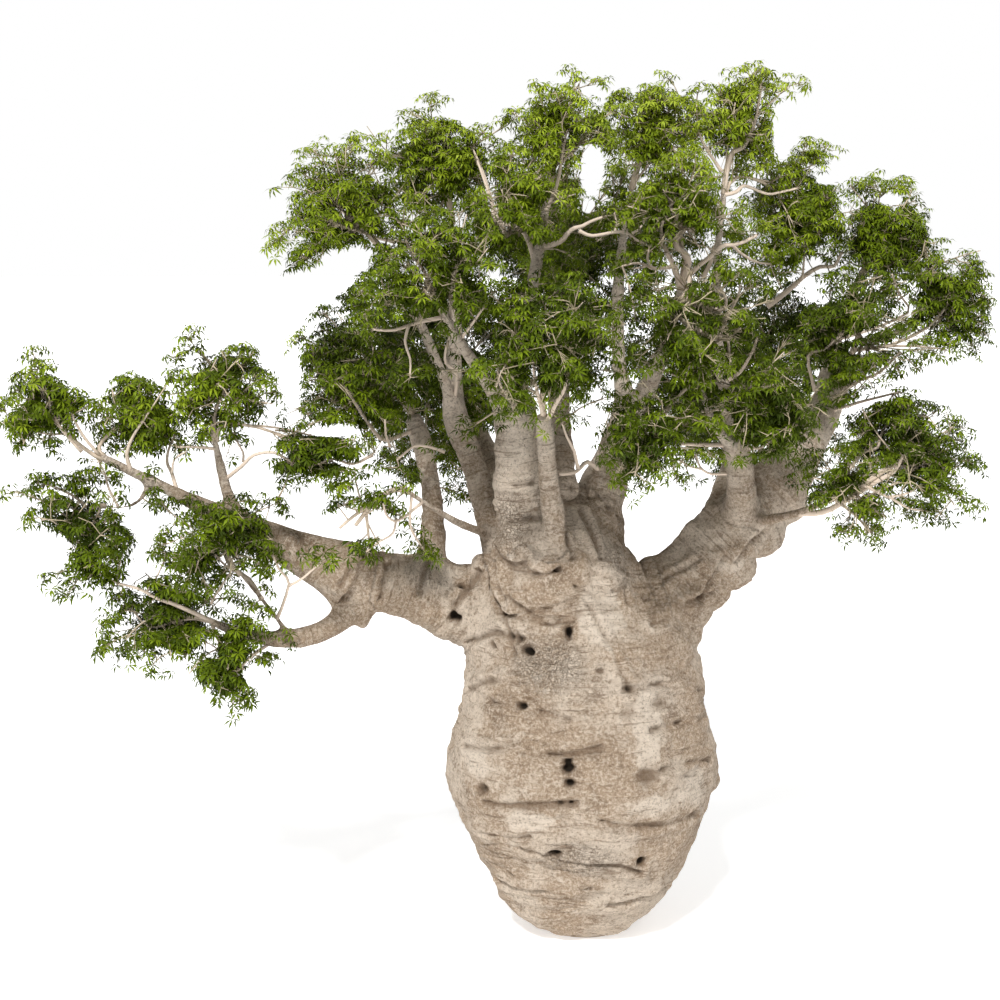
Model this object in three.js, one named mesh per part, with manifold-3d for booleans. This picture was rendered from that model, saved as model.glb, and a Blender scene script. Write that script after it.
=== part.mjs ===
// A baobab tree with a bottle-shaped trunk, a long left arm and a broad crown.
// Millimetres, +Z up, origin at the middle of the flat cut at ground level.
// Bearings are degrees round the trunk's axis: 0 along +X, 90 along +Y.
import * as THREE from 'three';
import { mergeVertices } from 'three/addons/utils/BufferGeometryUtils.js';
import Module from 'manifold-3d';

const wasm = await Module();
wasm.setup();

// Trunk: its radius at each height, from the ground cut to the dome under the fork
const TRUNK_RADII = [
  [0, 470], [200, 810], [650, 1140], [1400, 1480], [2100, 1570],
  [2700, 1440], [3200, 1310], [3600, 1150], [3950, 900], [4250, 560],
];
const TRUNK_SIDES = 24;
const TRUNK_STEPS = 16;
// The trunk's middle moves to the left by this much between these two heights
const TRUNK_LEAN = 60;
const LEAN_FROM = 300;
const LEAN_TO = 1800;
// Shallow upright folds, which wind by one radian over FOLD_TURN
const TRUNK_FOLDS = 5;
const FOLD_DEPTH = 0.018;
const FOLD_TURN = 1500;

// Every limb: where it starts, where its tip is, how it bends and how thick it is.
// A limb starts on another one, at a fraction of its length, or from a point in the trunk.
// tip and from: [bearing, distance from the trunk's axis, height]
const LIMBS = {
  left_arm: {
    from: [169, 780, 3600], tip: [186, 2760, 4280],
    arch: 45, sway: -50, thick: 450, thin: 300,
  },
  left_upper_arm: {
    on: 'left_arm', along: 1, tip: [187, 5490, 5680],
    arch: 0, sway: 50, thick: 300, thin: 55, taper: 1.8,
  },
  left_lower_arm: {
    on: 'left_arm', along: 0.84, tip: [194, 4280, 3870],
    arch: -400, sway: 120, thick: 170, thin: 60,
  },
  left_riser: {
    on: 'left_upper_arm', along: 0.45, tip: [188, 4230, 5880],
    arch: -20, sway: 30, thick: 95, thin: 50,
  },
  left_outer_branch: {
    on: 'left_upper_arm', along: 0.8, tip: [188, 5480, 5150],
    arch: -160, sway: -20, thick: 45, thin: 32,
  },
  left_low_riser: {
    on: 'left_lower_arm', along: 0.59, tip: [194, 4020, 4430],
    arch: 20, sway: 20, thick: 42, thin: 34,
  },
  left_back_stem: {
    on: 'left_arm', along: 0.55, tip: [164, 2120, 6030],
    arch: -20, sway: -160, thick: 160, thin: 115,
  },
  left_stem: {
    from: [168, 940, 4000], tip: [162, 1630, 6100],
    arch: 0, sway: -60, thick: 175, thin: 140,
  },
  left_crown_limb: {
    on: 'left_stem', along: 1, tip: [159, 1670, 8300],
    arch: -150, sway: -40, thick: 120, thin: 50,
  },
  far_left_limb: {
    on: 'left_stem', along: 0.9, tip: [197, 2440, 8010],
    arch: 170, sway: -50, thick: 85, thin: 45,
  },
  front_left_limb: {
    on: 'left_stem', along: 0.3, tip: [206, 2270, 5350],
    arch: -80, sway: 100, thick: 70, thin: 45,
  },
  centre_stem: {
    from: [200, 570, 3670], tip: [205, 960, 6290],
    arch: -20, sway: -40, thick: 310, thin: 255,
  },
  centre_crown_limb: {
    on: 'centre_stem', along: 1, tip: [215, 530, 8720],
    arch: 20, sway: -50, thick: 130, thin: 50,
  },
  centre_left_limb: {
    on: 'centre_stem', along: 0.92, tip: [217, 2160, 7510],
    arch: -20, sway: -20, thick: 100, thin: 55,
  },
  front_stem: {
    from: [236, 610, 4020], tip: [246, 1310, 6190],
    arch: 20, sway: -10, thick: 145, thin: 100,
  },
  centre_right_stem: {
    from: [34, 100, 3780], tip: [43, 890, 6140],
    arch: 175, sway: 140, thick: 300, thin: 245,
  },
  hub_limb: {
    on: 'centre_right_stem', along: 1, tip: [339, 1110, 7680],
    arch: 40, sway: 90, thick: 120, thin: 60,
  },
  top_limb: {
    on: 'centre_right_stem', along: 0.9, tip: [58, 1060, 8720],
    arch: -190, sway: 150, thick: 120, thin: 50,
  },
  right_arm: {
    from: [23, 520, 3100], tip: [8, 2210, 5110],
    arch: 140, sway: -150, thick: 520, thin: 320,
  },
  right_upper_arm: {
    on: 'right_arm', along: 1, tip: [16, 3300, 6660],
    arch: -50, sway: -20, thick: 320, thin: 115,
  },
  right_back_limb: {
    on: 'right_upper_arm', along: 0.59, tip: [19, 3630, 7820],
    arch: -100, sway: 230, thick: 110, thin: 55,
  },
  right_riser: {
    on: 'right_arm', along: 0.78, tip: [343, 1710, 5850],
    arch: -120, sway: 70, thick: 170, thin: 150,
  },
  right_crown_limb: {
    on: 'right_riser', along: 1, tip: [0, 1530, 8620],
    arch: -30, sway: 140, thick: 100, thin: 50,
  },
  right_front_limb: {
    on: 'right_riser', along: 0.9, tip: [305, 1950, 6540],
    arch: -110, sway: -20, thick: 80, thin: 50,
  },
  right_low_limb: {
    on: 'right_arm', along: 0.84, tip: [341, 3130, 5400],
    arch: -120, sway: -260, thick: 80, thin: 50,
  },
  back_left_stem: {
    from: [135, 700, 3900], tip: [127, 2500, 6200],
    arch: -200, sway: -150, thick: 280, thin: 120,
  },
  back_stem: {
    from: [100, 550, 3900], tip: [96, 1910, 7200],
    arch: -150, sway: 120, thick: 260, thin: 90,
  },
  back_right_limb: {
    on: 'right_arm', along: 0.6, tip: [42, 2830, 5900],
    arch: -120, sway: 60, thick: 220, thin: 110,
  },
};
// A limb flares at its foot by this share, over this many times its thickness
const FOOT_SWELL = 0.3;
const FOOT_LENGTH = 1.5;
// Sides round a limb, and the distance between its rings in thicknesses and at least
const THICK_LIMB = 150;
const THICK_SIDES = 9;
const THIN_SIDES = 6;
const LEAST_RINGS = 3;
const RING_STRIDE = 1.6;
const LEAST_STRIDE = 420;

// Every mass of foliage: the limb it grows from, its middle, its half width and half height
const MASSES = {
  left_tip_foliage: { on: 'left_upper_arm', at: [187, 6090, 6230], wide: 560, tall: 540 },
  left_crest_foliage: { on: 'left_upper_arm', at: [184, 5060, 6130], wide: 560, tall: 520 },
  left_outer_foliage: { on: 'left_outer_branch', at: [190, 5720, 4880], wide: 660, tall: 640 },
  left_top_foliage: { on: 'left_riser', at: [188, 4080, 6460], wide: 640, tall: 620 },
  left_link_foliage: { on: 'left_riser', at: [193, 3100, 5760], wide: 600, tall: 400 },
  left_inner_foliage: { on: 'left_low_riser', at: [197, 4200, 4880], wide: 700, tall: 500 },
  left_low_foliage: { on: 'left_lower_arm', at: [191, 4790, 3920], wide: 700, tall: 540 },
  left_bottom_foliage: { on: 'left_lower_arm', at: [197, 4130, 3480], wide: 480, tall: 470 },
  left_middle_foliage: { on: 'left_back_stem', at: [176, 2690, 6490], wide: 850, tall: 850 },
  front_left_foliage: { on: 'front_left_limb', at: [209, 2920, 5020], wide: 540, tall: 660 },
  far_left_foliage: { on: 'far_left_limb', at: [201, 2850, 8320], wide: 690, tall: 700 },
  left_shoulder_foliage: { on: 'centre_left_limb', at: [228, 2560, 7700], wide: 740, tall: 680 },
  left_crown_foliage: { on: 'left_crown_limb', at: [163, 1760, 8930], wide: 740, tall: 700 },
  centre_crown_foliage: { on: 'centre_crown_limb', at: [232, 480, 9240], wide: 620, tall: 620 },
  centre_front_foliage: { on: 'centre_crown_limb', at: [232, 1400, 8370], wide: 680, tall: 640 },
  front_foliage: { on: 'front_stem', at: [256, 2170, 6990], wide: 850, tall: 680 },
  top_foliage: { on: 'top_limb', at: [45, 1140, 9380], wide: 640, tall: 600 },
  hub_foliage: { on: 'hub_limb', at: [311, 1340, 8380], wide: 680, tall: 660 },
  hub_low_foliage: { on: 'hub_limb', at: [297, 2130, 7190], wide: 790, tall: 660 },
  right_front_foliage: { on: 'right_front_limb', at: [285, 2070, 6000], wide: 660, tall: 540 },
  riser_foliage: { on: 'right_front_limb', at: [316, 2460, 6290], wide: 700, tall: 620 },
  right_crown_foliage: { on: 'right_crown_limb', at: [3, 1770, 9370], wide: 560, tall: 650 },
  right_shoulder_foliage: { on: 'right_crown_limb', at: [19, 2690, 8430], wide: 700, tall: 640 },
  right_back_foliage: { on: 'right_back_limb', at: [17, 3780, 8110], wide: 730, tall: 600 },
  right_outer_foliage: { on: 'right_back_limb', at: [5, 4160, 7360], wide: 560, tall: 740 },
  right_middle_foliage: { on: 'right_upper_arm', at: [352, 2980, 7030], wide: 800, tall: 700 },
  right_low_foliage: { on: 'right_low_limb', at: [349, 3650, 5740], wide: 670, tall: 780 },
  right_under_foliage: { on: 'right_low_limb', at: [331, 3100, 5400], wide: 520, tall: 540 },
  back_left_foliage: {
    on: 'back_left_stem', at: [132, 2750, 6500], wide: 1250, tall: 1350, twigs: 6, leaves: 44,
  },
  back_foliage: {
    on: 'back_stem', at: [94, 2150, 8050], wide: 1250, tall: 1200, twigs: 6, leaves: 44,
  },
  back_right_foliage: {
    on: 'back_right_limb', at: [47, 2950, 6450], wide: 1350, tall: 1400, twigs: 6, leaves: 44,
  },
};
const TWIGS = 3;
const LEAVES = 20;

// The stem of a mass: its radius at most, its radius as a share of the limb's tip alone and
// beside a second stem, how far two stems lie from the tip's middle, and how far it goes
// straight on before it turns to the middle of its mass
const STEM_RADIUS = 42;
const STEM_SHARE = 0.9;
const PAIR_SHARE = 0.42;
const PAIR_APART = 0.48;
const STEM_AHEAD = 0.35;
// Stems and twigs end at this share of the radius they start with
const TIP_SHARE = 0.7;

// Twigs start between these fractions of the stem, with this share of its radius, rise in
// the middle by a share of their length and end this far out to the edge of the mass
const STEM_BARE = 0.6;
const STEM_END = 0.96;
const TWIG_SHARE = 0.5;
const TWIG_RISE = 0.08;
const TWIG_REACH = 0.35;

// Leaves start between these fractions of a twig and end this far out, all in shares
const ROOT_FROM = 0.3;
const ROOT_SPAN = 0.68;
const LEAF_REACH = 0.9;
const REACH_SPAN = 0.1;
const LEAF_WIDTH = 0.58;
const LEAF_WIDEST = 0.6;
const LEAF_THICKNESS = 0.06;
const LEAF_ROLL = Math.PI;
// No leaf is shorter than this, and leaves keep off limbs that are made this much thicker
const LEAF_LEAST = 160;
const LEAF_ROOM = 1.15;

// Room between two pieces that meet, and from the wall between two masses to each of them
const GAP = 0.3;
const WALL_GAP = 4;
// A collar ends where its limb, made this much thicker, no longer touches its neighbours
const COLLAR_ROOM = 1.04;
const COLLAR_STEP = 0.01;
const COLLAR_MOST = 0.7;
const TIP_COLLAR = 1.15;

// Even spreading: the angle from one direction to the next, and how far each may stray
const GOLDEN_ANGLE = Math.PI * (3 - Math.sqrt(5));
const GOLDEN_SHARE = 0.618;
const STRAY = 0.5;

// A point from its bearing, its distance from the trunk's axis and its height
function place([bearing, reach, height]) {
  const angle = THREE.MathUtils.degToRad(bearing);
  return new THREE.Vector3(reach * Math.cos(angle), reach * Math.sin(angle), height);
}

// Repeatable numbers from 0 to 1
function seeded(seed) {
  let state = seed >>> 0;
  return () => {
    state = (Math.imul(state, 1664525) + 1013904223) >>> 0;
    return state / 4294967296;
  };
}

function solid(geometry) {
  const bare = geometry.clone();
  bare.deleteAttribute('normal');
  bare.deleteAttribute('uv');
  const merged = mergeVertices(bare, 1e-3);
  const mesh = new wasm.Mesh({
    numProp: 3,
    vertProperties: Float32Array.from(merged.attributes.position.array),
    triVerts: Uint32Array.from(merged.index.array),
  });
  return new wasm.Manifold(mesh);
}

// The joined solids as one body, with any loose scrap dropped
function joined(solids) {
  let body = solids[0];
  for (const other of solids.slice(1)) {
    body = body.add(other);
  }
  const parts = body.decompose();
  parts.sort((a, b) => b.volume() - a.volume());
  return parts[0];
}

function touches(body, others) {
  return others.some((other) => !other.intersect(body).isEmpty());
}

function geometryOf(body) {
  const mesh = body.getMesh();
  const geometry = new THREE.BufferGeometry();
  geometry.setAttribute('position', new THREE.BufferAttribute(mesh.vertProperties, 3));
  geometry.setIndex(new THREE.BufferAttribute(mesh.triVerts, 1));
  geometry.computeVertexNormals();
  return geometry;
}

// A curve through a middle point that lies off the straight line from start to tip:
// arch lifts it in the upright plane, sway moves it to the left of its direction
function bentCurve(start, tip, arch, sway) {
  const chord = tip.clone().sub(start).normalize();
  const left = new THREE.Vector3(-chord.y, chord.x, 0).normalize();
  const up = chord.clone().cross(left);
  const offset = up.multiplyScalar(2 * arch).add(left.multiplyScalar(2 * sway));
  const control = start.clone().add(tip).multiplyScalar(0.5).add(offset);
  return new THREE.QuadraticBezierCurve3(start, control, tip);
}

// The unit vector square to the plane in which a curve bends
function squareTo(curve) {
  const { v0, v1, v2 } = curve;
  const across = v1.clone().sub(v0).cross(v2.clone().sub(v1));
  if (across.length() < 1) {
    across.set(v1.y - v0.y, v0.x - v1.x, 0.001);
  }
  return across.normalize();
}

// A tapering tube with closed ends, from one fraction of a limb, stem or twig to another.
// Its rings stand at even fractions, and a part of the whole tube has the same flat faces.
function tube(limb, first, last) {
  const { curve, radiusAt, sides, rings } = limb;
  const across = squareTo(curve);
  const onRing = (ring, x, z) => {
    const t = ring / rings;
    const side = curve.getTangent(t).cross(across);
    const point = curve.getPoint(t);
    return point.addScaledVector(side, x * radiusAt(t)).addScaledVector(across, z * radiusAt(t));
  };
  const between = Array.from({ length: rings - 1 }, (_, i) => (i + 1) / rings);
  const inside = between.filter((t) => t > first + COLLAR_STEP && t < last - COLLAR_STEP);
  const stations = [first, ...inside, last];
  const geometry = new THREE.CylinderGeometry(1, 1, 1, sides, stations.length - 1);
  const position = geometry.attributes.position;
  for (let i = 0; i < position.count; i += 1) {
    const x = position.getX(i);
    const z = position.getZ(i);
    const t = stations[Math.round((position.getY(i) + 0.5) * (stations.length - 1))];
    const ring = Math.min(Math.floor(t * rings), rings - 1);
    const p = onRing(ring, x, z).lerp(onRing(ring + 1, x, z), t * rings - ring);
    position.setXYZ(i, p.x, p.y, p.z);
  }
  return solid(geometry);
}

// The same tube over its whole length, made thicker by a factor
function wholeTube(limb, factor) {
  return tube({ ...limb, radiusAt: (t) => limb.radiusAt(t) * factor }, 0, 1);
}

function buildTrunk() {
  const profile = new THREE.SplineCurve(TRUNK_RADII.map(([z, r]) => new THREE.Vector2(z, r)));
  const geometry = new THREE.CylinderGeometry(1, 1, 1, TRUNK_SIDES, TRUNK_STEPS);
  geometry.rotateX(Math.PI / 2);
  const position = geometry.attributes.position;
  const v = new THREE.Vector3();
  for (let i = 0; i < position.count; i += 1) {
    v.fromBufferAttribute(position, i);
    const { x: height, y: radius } = profile.getPoint(v.z + 0.5);
    const turn = TRUNK_FOLDS * Math.atan2(v.y, v.x) + height / FOLD_TURN;
    const own = radius * (1 + FOLD_DEPTH * Math.sin(turn));
    const lean = TRUNK_LEAN * THREE.MathUtils.smoothstep(height, LEAN_FROM, LEAN_TO);
    position.setXYZ(i, v.x * own - lean, v.y * own, height);
  }
  return solid(geometry);
}

// A limb's own curve and radius, with its foot swollen where it leaves its bearer
function layLimb(name, laid) {
  const { on, along, from, tip, arch, sway, thick, thin, taper = 1 } = LIMBS[name];
  const start = on ? laid[on].curve.getPoint(along) : place(from);
  const curve = bentCurve(start, place(tip), arch, sway);
  const length = curve.getLength();
  const radiusAt = (t) => {
    const swell = 1 + FOOT_SWELL * Math.exp((-t * length) / (FOOT_LENGTH * thick));
    return THREE.MathUtils.lerp(thick, thin, 1 - (1 - t) ** taper) * swell;
  };
  const sides = thick > THICK_LIMB ? THICK_SIDES : THIN_SIDES;
  const stride = Math.max(RING_STRIDE * thick, LEAST_STRIDE);
  const rings = Math.max(LEAST_RINGS, Math.round(length / stride));
  return { name, bearer: on ?? 'trunk', curve, length, radiusAt, sides, rings };
}

// The fraction at which a limb is clear of its bearer and of the limbs beside it.
// Up to there it is a collar on its bearer, and beyond it is a piece of its own.
function collarEnd(limb, laid, trunk) {
  const beside = Object.values(laid).filter((other) => {
    const shared = other.bearer === limb.bearer && other !== limb;
    return shared || other.name === limb.bearer;
  });
  const bodies = beside.map((other) => tube(other, 0, 1));
  if (limb.bearer === 'trunk') {
    bodies.push(trunk);
  }
  const fat = { ...limb, radiusAt: (t) => limb.radiusAt(t) * COLLAR_ROOM };
  const onTip = LIMBS[limb.name].along === 1;
  let t = onTip ? (TIP_COLLAR * limb.radiusAt(0)) / limb.length : 2 * COLLAR_STEP;
  while (t < COLLAR_MOST && touches(tube(fat, t, 1), bodies)) {
    t += COLLAR_STEP;
  }
  return t;
}

// The distance from the middle of a mass to its edge in a direction
function edgeOf(mass, direction) {
  const { wide, tall } = mass;
  const across = (direction.x ** 2 + direction.y ** 2) / wide ** 2;
  return 1 / Math.sqrt(across + direction.z ** 2 / tall ** 2);
}

// Flat faces between a mass and its neighbours keep each one in a space of its own
function wallsOf(mass, masses) {
  const walls = [];
  for (const other of masses) {
    if (other === mass) {
      continue;
    }
    const normal = other.heart.clone().sub(mass.heart);
    const apart = normal.length();
    normal.divideScalar(apart);
    const own = edgeOf(mass, normal);
    const theirs = edgeOf(other, normal);
    walls.push({ normal, reach: (apart * own) / (own + theirs) - WALL_GAP });
  }
  return walls;
}

function inSpace(mass, point) {
  const offset = point.clone().sub(mass.heart);
  return mass.walls.every((wall) => offset.dot(wall.normal) < wall.reach);
}

// The point at a share of the way from a mass's middle to the edge of its space
function rim(mass, direction, share) {
  let reach = edgeOf(mass, direction);
  for (const wall of mass.walls) {
    const slope = direction.dot(wall.normal);
    if (slope > 0.01) {
      reach = Math.min(reach, wall.reach / slope);
    }
  }
  return mass.heart.clone().addScaledVector(direction, reach * share);
}

// Directions spread evenly over a ball, shifted a little by the seeded numbers
function spread(count, random) {
  const turn = random() * 2 * Math.PI;
  return Array.from({ length: count }, (_, i) => {
    const z = 1 - (2 * (i + 0.5)) / count + ((random() - 0.5) * STRAY) / count;
    const angle = turn + GOLDEN_ANGLE * i + (random() - 0.5) * STRAY;
    const flat = Math.sqrt(Math.max(0, 1 - z * z));
    return new THREE.Vector3(flat * Math.cos(angle), flat * Math.sin(angle), z);
  });
}

// A leaf stands for a spray: a blade with a flat underside and a ridge, pointed at both ends
function leaf(root, tip, roll) {
  const axis = tip.clone().sub(root);
  const length = axis.length();
  axis.normalize();
  const side = new THREE.Vector3(-axis.y, axis.x, 0).normalize().applyAxisAngle(axis, roll);
  const face = axis.clone().cross(side);
  const widest = root.clone().lerp(tip, LEAF_WIDEST);
  const left = widest.clone().addScaledVector(side, (length * LEAF_WIDTH) / 2);
  const right = widest.clone().addScaledVector(side, (-length * LEAF_WIDTH) / 2);
  const ridge = widest.clone().addScaledVector(face, length * LEAF_THICKNESS);
  const geometry = new THREE.BufferGeometry().setFromPoints([root, tip, left, right, ridge]);
  geometry.setIndex([0, 2, 3, 1, 3, 2, 0, 3, 4, 0, 4, 2, 1, 4, 3, 1, 2, 4]);
  return { body: solid(geometry), corners: [tip, left, right, ridge] };
}

// The stem of a mass starts 0.3 mm off the flat tip of its limb. Two masses on one tip
// have their stems side by side, each on the side of its own mass.
function layStem(mass, masses, laid) {
  const limb = laid[mass.on];
  const ahead = limb.curve.getTangent(1);
  const tipRadius = limb.radiusAt(1);
  const pair = masses.filter((other) => other.on === mass.on);
  const start = limb.curve.getPoint(1).addScaledVector(ahead, GAP);
  if (pair.length > 1) {
    const apart = pair[0].heart.clone().sub(pair[1].heart).projectOnPlane(ahead).normalize();
    const sign = mass === pair[0] ? 1 : -1;
    start.addScaledVector(apart, sign * tipRadius * PAIR_APART);
  }
  const share = pair.length > 1 ? PAIR_SHARE : STEM_SHARE;
  const thick = Math.min(STEM_RADIUS, tipRadius * share);
  const reach = start.distanceTo(mass.heart);
  const control = start.clone().addScaledVector(ahead, reach * STEM_AHEAD);
  const curve = new THREE.QuadraticBezierCurve3(start, control, mass.heart.clone());
  const radiusAt = (t) => THREE.MathUtils.lerp(thick, thick * TIP_SHARE, t);
  return { curve, radiusAt, sides: 3, rings: 3 };
}

// Twigs branch from the stem, and each ends part of the way to the edge of the space.
// A twig that would leave the space or touch a limb is skipped. The stem's last part
// bears leaves as a twig does.
function growTwigs(mass, random, obstacles) {
  const { stem } = mass;
  const stemEnd = { start: stem.curve.getPoint(STEM_BARE), end: mass.heart, body: tube(stem, 0, 1) };
  const twigs = [{ ...stemEnd, taken: 0 }];
  spread(mass.twigs ?? TWIGS, random).forEach((direction, i, all) => {
    const share = STEM_BARE + ((STEM_END - STEM_BARE) * i) / all.length;
    const start = stem.curve.getPoint(share);
    const thick = TWIG_SHARE * stem.radiusAt(share);
    const end = rim(mass, direction, TWIG_REACH);
    const middle = start.clone().lerp(end, 0.5);
    middle.z += TWIG_RISE * start.distanceTo(end);
    const curve = new THREE.QuadraticBezierCurve3(start, middle, end);
    const radiusAt = (t) => THREE.MathUtils.lerp(thick, thick * TIP_SHARE, t);
    const body = tube({ curve, radiusAt, sides: 3, rings: 1 }, 0, 1);
    if (inSpace(mass, end) && !touches(body, obstacles)) {
      twigs.push({ start, end, body, taken: 0 });
    }
  });
  return twigs;
}

// Leaves spread from the nearest twig to the edge of the space. A leaf that would leave the
// space, touch a limb or cross another leaf or twig is skipped.
function growLeaves(mass, random, twigs, obstacles) {
  const leaves = [];
  for (const direction of spread(mass.leaves ?? LEAVES, random)) {
    const tip = rim(mass, direction, LEAF_REACH + REACH_SPAN * random());
    const roll = (random() - 0.5) * LEAF_ROLL;
    const byDistance = twigs.slice().sort((a, b) => a.end.distanceTo(tip) - b.end.distanceTo(tip));
    const nearest = byDistance[0];
    nearest.taken += 1;
    const share = ROOT_FROM + ROOT_SPAN * ((nearest.taken * GOLDEN_SHARE) % 1);
    const root = nearest.start.clone().lerp(nearest.end, share);
    const { body, corners } = leaf(root, tip, roll);
    const otherTwigs = twigs.filter((twig) => twig !== nearest).map((twig) => twig.body);
    const inside = corners.every((corner) => inSpace(mass, corner));
    const long = root.distanceTo(tip) > LEAF_LEAST;
    if (inside && long && !touches(body, [...leaves, ...otherTwigs, ...obstacles])) {
      leaves.push(body);
    }
  }
  return leaves;
}

function growMass(mass, seed, obstacles) {
  const random = seeded(seed);
  const twigs = growTwigs(mass, random, obstacles);
  const leaves = growLeaves(mass, random, twigs, obstacles);
  return joined([...twigs.map((twig) => twig.body), ...leaves]);
}

const bark = () => new THREE.MeshStandardMaterial({ color: 0xb7a58c, roughness: 0.88, metalness: 0 });
const foliage = () => new THREE.MeshStandardMaterial({ color: 0x57681a, roughness: 0.6, metalness: 0 });

// The trunk with its collars, then every limb with the collars that it bears
function addWood(addMesh, limbs, laid) {
  const trunk = buildTrunk();
  for (const limb of limbs) {
    limb.collar = collarEnd(limb, laid, trunk);
  }
  const collarsOf = (bearer) => limbs
    .filter((limb) => limb.bearer === bearer)
    .map((limb) => tube(limb, 0, limb.collar));
  addMesh('trunk', joined([trunk, ...collarsOf('trunk')]), bark());
  for (const limb of limbs) {
    const own = tube(limb, limb.collar + GAP / limb.length, 1);
    addMesh(limb.name, joined([own, ...collarsOf(limb.name)]), bark());
  }
}

function addFoliage(addMesh, limbs, laid) {
  const masses = Object.entries(MASSES).map(([name, spec]) => ({ name, ...spec, heart: place(spec.at) }));
  for (const mass of masses) {
    mass.stem = layStem(mass, masses, laid);
    mass.walls = wallsOf(mass, masses);
  }
  const limbBodies = limbs.map((limb) => wholeTube(limb, LEAF_ROOM));
  const stemBodies = masses.map((mass) => wholeTube(mass.stem, LEAF_ROOM));
  masses.forEach((mass, i) => {
    const otherStems = stemBodies.filter((_, other) => other !== i);
    addMesh(mass.name, growMass(mass, i + 1, [...limbBodies, ...otherStems]), foliage());
  });
}

function buildTree() {
  const group = new THREE.Group();
  const addMesh = (name, body, material) => {
    const mesh = new THREE.Mesh(geometryOf(body), material);
    mesh.name = name;
    group.add(mesh);
  };
  const laid = {};
  for (const name of Object.keys(LIMBS)) {
    laid[name] = layLimb(name, laid);
  }
  const limbs = Object.values(laid);
  addWood(addMesh, limbs, laid);
  addFoliage(addMesh, limbs, laid);
  return group;
}

const group = buildTree();

export default group;
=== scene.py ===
"""A baobab tree: bark in relief over the trunk and boughs, and leafy sprays on fine twigs.

Metres, +Z up, origin in the middle of the ground cut. Bearings are degrees round the trunk:
0 along +X, which is the tree's right side, and 90 along +Y, which is its back.
"""
import logging
import math
from dataclasses import dataclass, field
from enum import Enum

import bmesh
import bpy
import numpy as np
from mathutils import Matrix, Quaternion, Vector, noise


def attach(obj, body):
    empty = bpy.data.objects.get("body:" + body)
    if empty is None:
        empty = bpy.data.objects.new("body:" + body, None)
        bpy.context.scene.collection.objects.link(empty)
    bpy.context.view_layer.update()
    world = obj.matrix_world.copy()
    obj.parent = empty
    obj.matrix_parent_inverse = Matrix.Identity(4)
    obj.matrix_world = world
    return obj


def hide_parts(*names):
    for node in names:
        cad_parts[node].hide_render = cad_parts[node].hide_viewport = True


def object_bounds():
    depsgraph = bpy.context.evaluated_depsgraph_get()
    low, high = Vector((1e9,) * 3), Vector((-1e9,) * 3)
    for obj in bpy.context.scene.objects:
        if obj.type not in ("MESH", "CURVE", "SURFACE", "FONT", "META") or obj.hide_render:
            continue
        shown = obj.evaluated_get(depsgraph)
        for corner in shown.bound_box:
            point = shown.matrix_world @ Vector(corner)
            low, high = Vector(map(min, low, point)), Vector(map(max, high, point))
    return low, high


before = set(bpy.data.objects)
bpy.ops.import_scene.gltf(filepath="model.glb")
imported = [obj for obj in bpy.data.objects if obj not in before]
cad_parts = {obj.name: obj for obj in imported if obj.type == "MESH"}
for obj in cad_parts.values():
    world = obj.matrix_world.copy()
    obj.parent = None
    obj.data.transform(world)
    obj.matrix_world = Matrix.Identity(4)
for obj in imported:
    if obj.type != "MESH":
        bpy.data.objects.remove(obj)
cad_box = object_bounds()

LOG = logging.getLogger("baobab")
CAMERA_AT = (-1.0, -20.02, 7.91)
CAMERA_TILT = 82.0
FRAME_SIDE = 1000
PIXEL = 0.0113  # metres to a pixel of the frame, in the tree's middle plane
GOLDEN_ANGLE = math.pi * (3 - math.sqrt(5))
GOLDEN_SHARE = 0.618
FULL_TURN = 6.28
TINY = 1e-12  # keeps a length of nought from dividing

Colour = tuple[float, float, float]
Socket = bpy.types.NodeSocket


class WoodPart(Enum):
    """The pieces that the bark is divided into."""

    TRUNK = "trunk"
    LEFT = "left_boughs"
    CENTRE = "centre_boughs"
    RIGHT = "right_boughs"


class Region(Enum):
    """The parts of the crown whose twigs and leaves are joined."""

    FAR_LEFT = "far_left"
    LOW_LEFT = "low_left"
    LEFT = "left"
    CENTRE = "centre"
    FRONT = "front"
    RIGHT = "right"
    FAR_RIGHT = "far_right"
    BACK = "back"


LEFT_REGIONS = (Region.FAR_LEFT, Region.LOW_LEFT)


@dataclass(frozen=True)
class LimbPlan:
    """A limb as the solids have it.

    start is a fraction of the bearer's length, or (bearing, reach, height) in the trunk.
    """

    name: str
    bearer: str
    start: float | tuple[float, float, float]
    tip: tuple[float, float, float]
    arch: float
    sway: float
    thick: float
    thin: float
    taper: float = 1.0


@dataclass(frozen=True)
class MassPlan:
    """A mass of foliage as the solids have it: its limb, middle, half width and half height."""

    name: str
    bearer: str
    at: tuple[float, float, float]
    wide: float
    tall: float
    region: Region
    twigs: int = 3
    sprays: int = 20
    fullness: float = 1.0


@dataclass(frozen=True)
class Pit:
    """A hollow in the bark: its place, its half width and half height, and its depth."""

    at: tuple[float, float, float]
    size: tuple[float, float]
    depth: float


@dataclass(frozen=True)
class Knob:
    """A round swelling that stands out of the bark: its middle and its radius."""

    at: tuple[float, float, float]
    radius: float


@dataclass(frozen=True)
class Patch:
    """A patch of bark of another kind: its middle and its half sizes."""

    at: tuple[float, float, float]
    half: tuple[float, float, float]


@dataclass(frozen=True)
class FineBranch:
    """A bare branch that shows among the leaves, in the frame's pixels.

    It has a radius at either end, how far back (y, in metres) either end lies, and what it passes.
    """

    thick: float
    thin: float
    start_back: float
    end_back: float
    points: tuple[tuple[int, int], ...]

    @classmethod
    def from_row(cls, row: tuple[float, ...]) -> "FineBranch":
        """Read a branch from its row: four sizes, then its places across and down in turn."""
        return cls(*row[:4], tuple(zip(row[4::2], row[5::2])))


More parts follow.
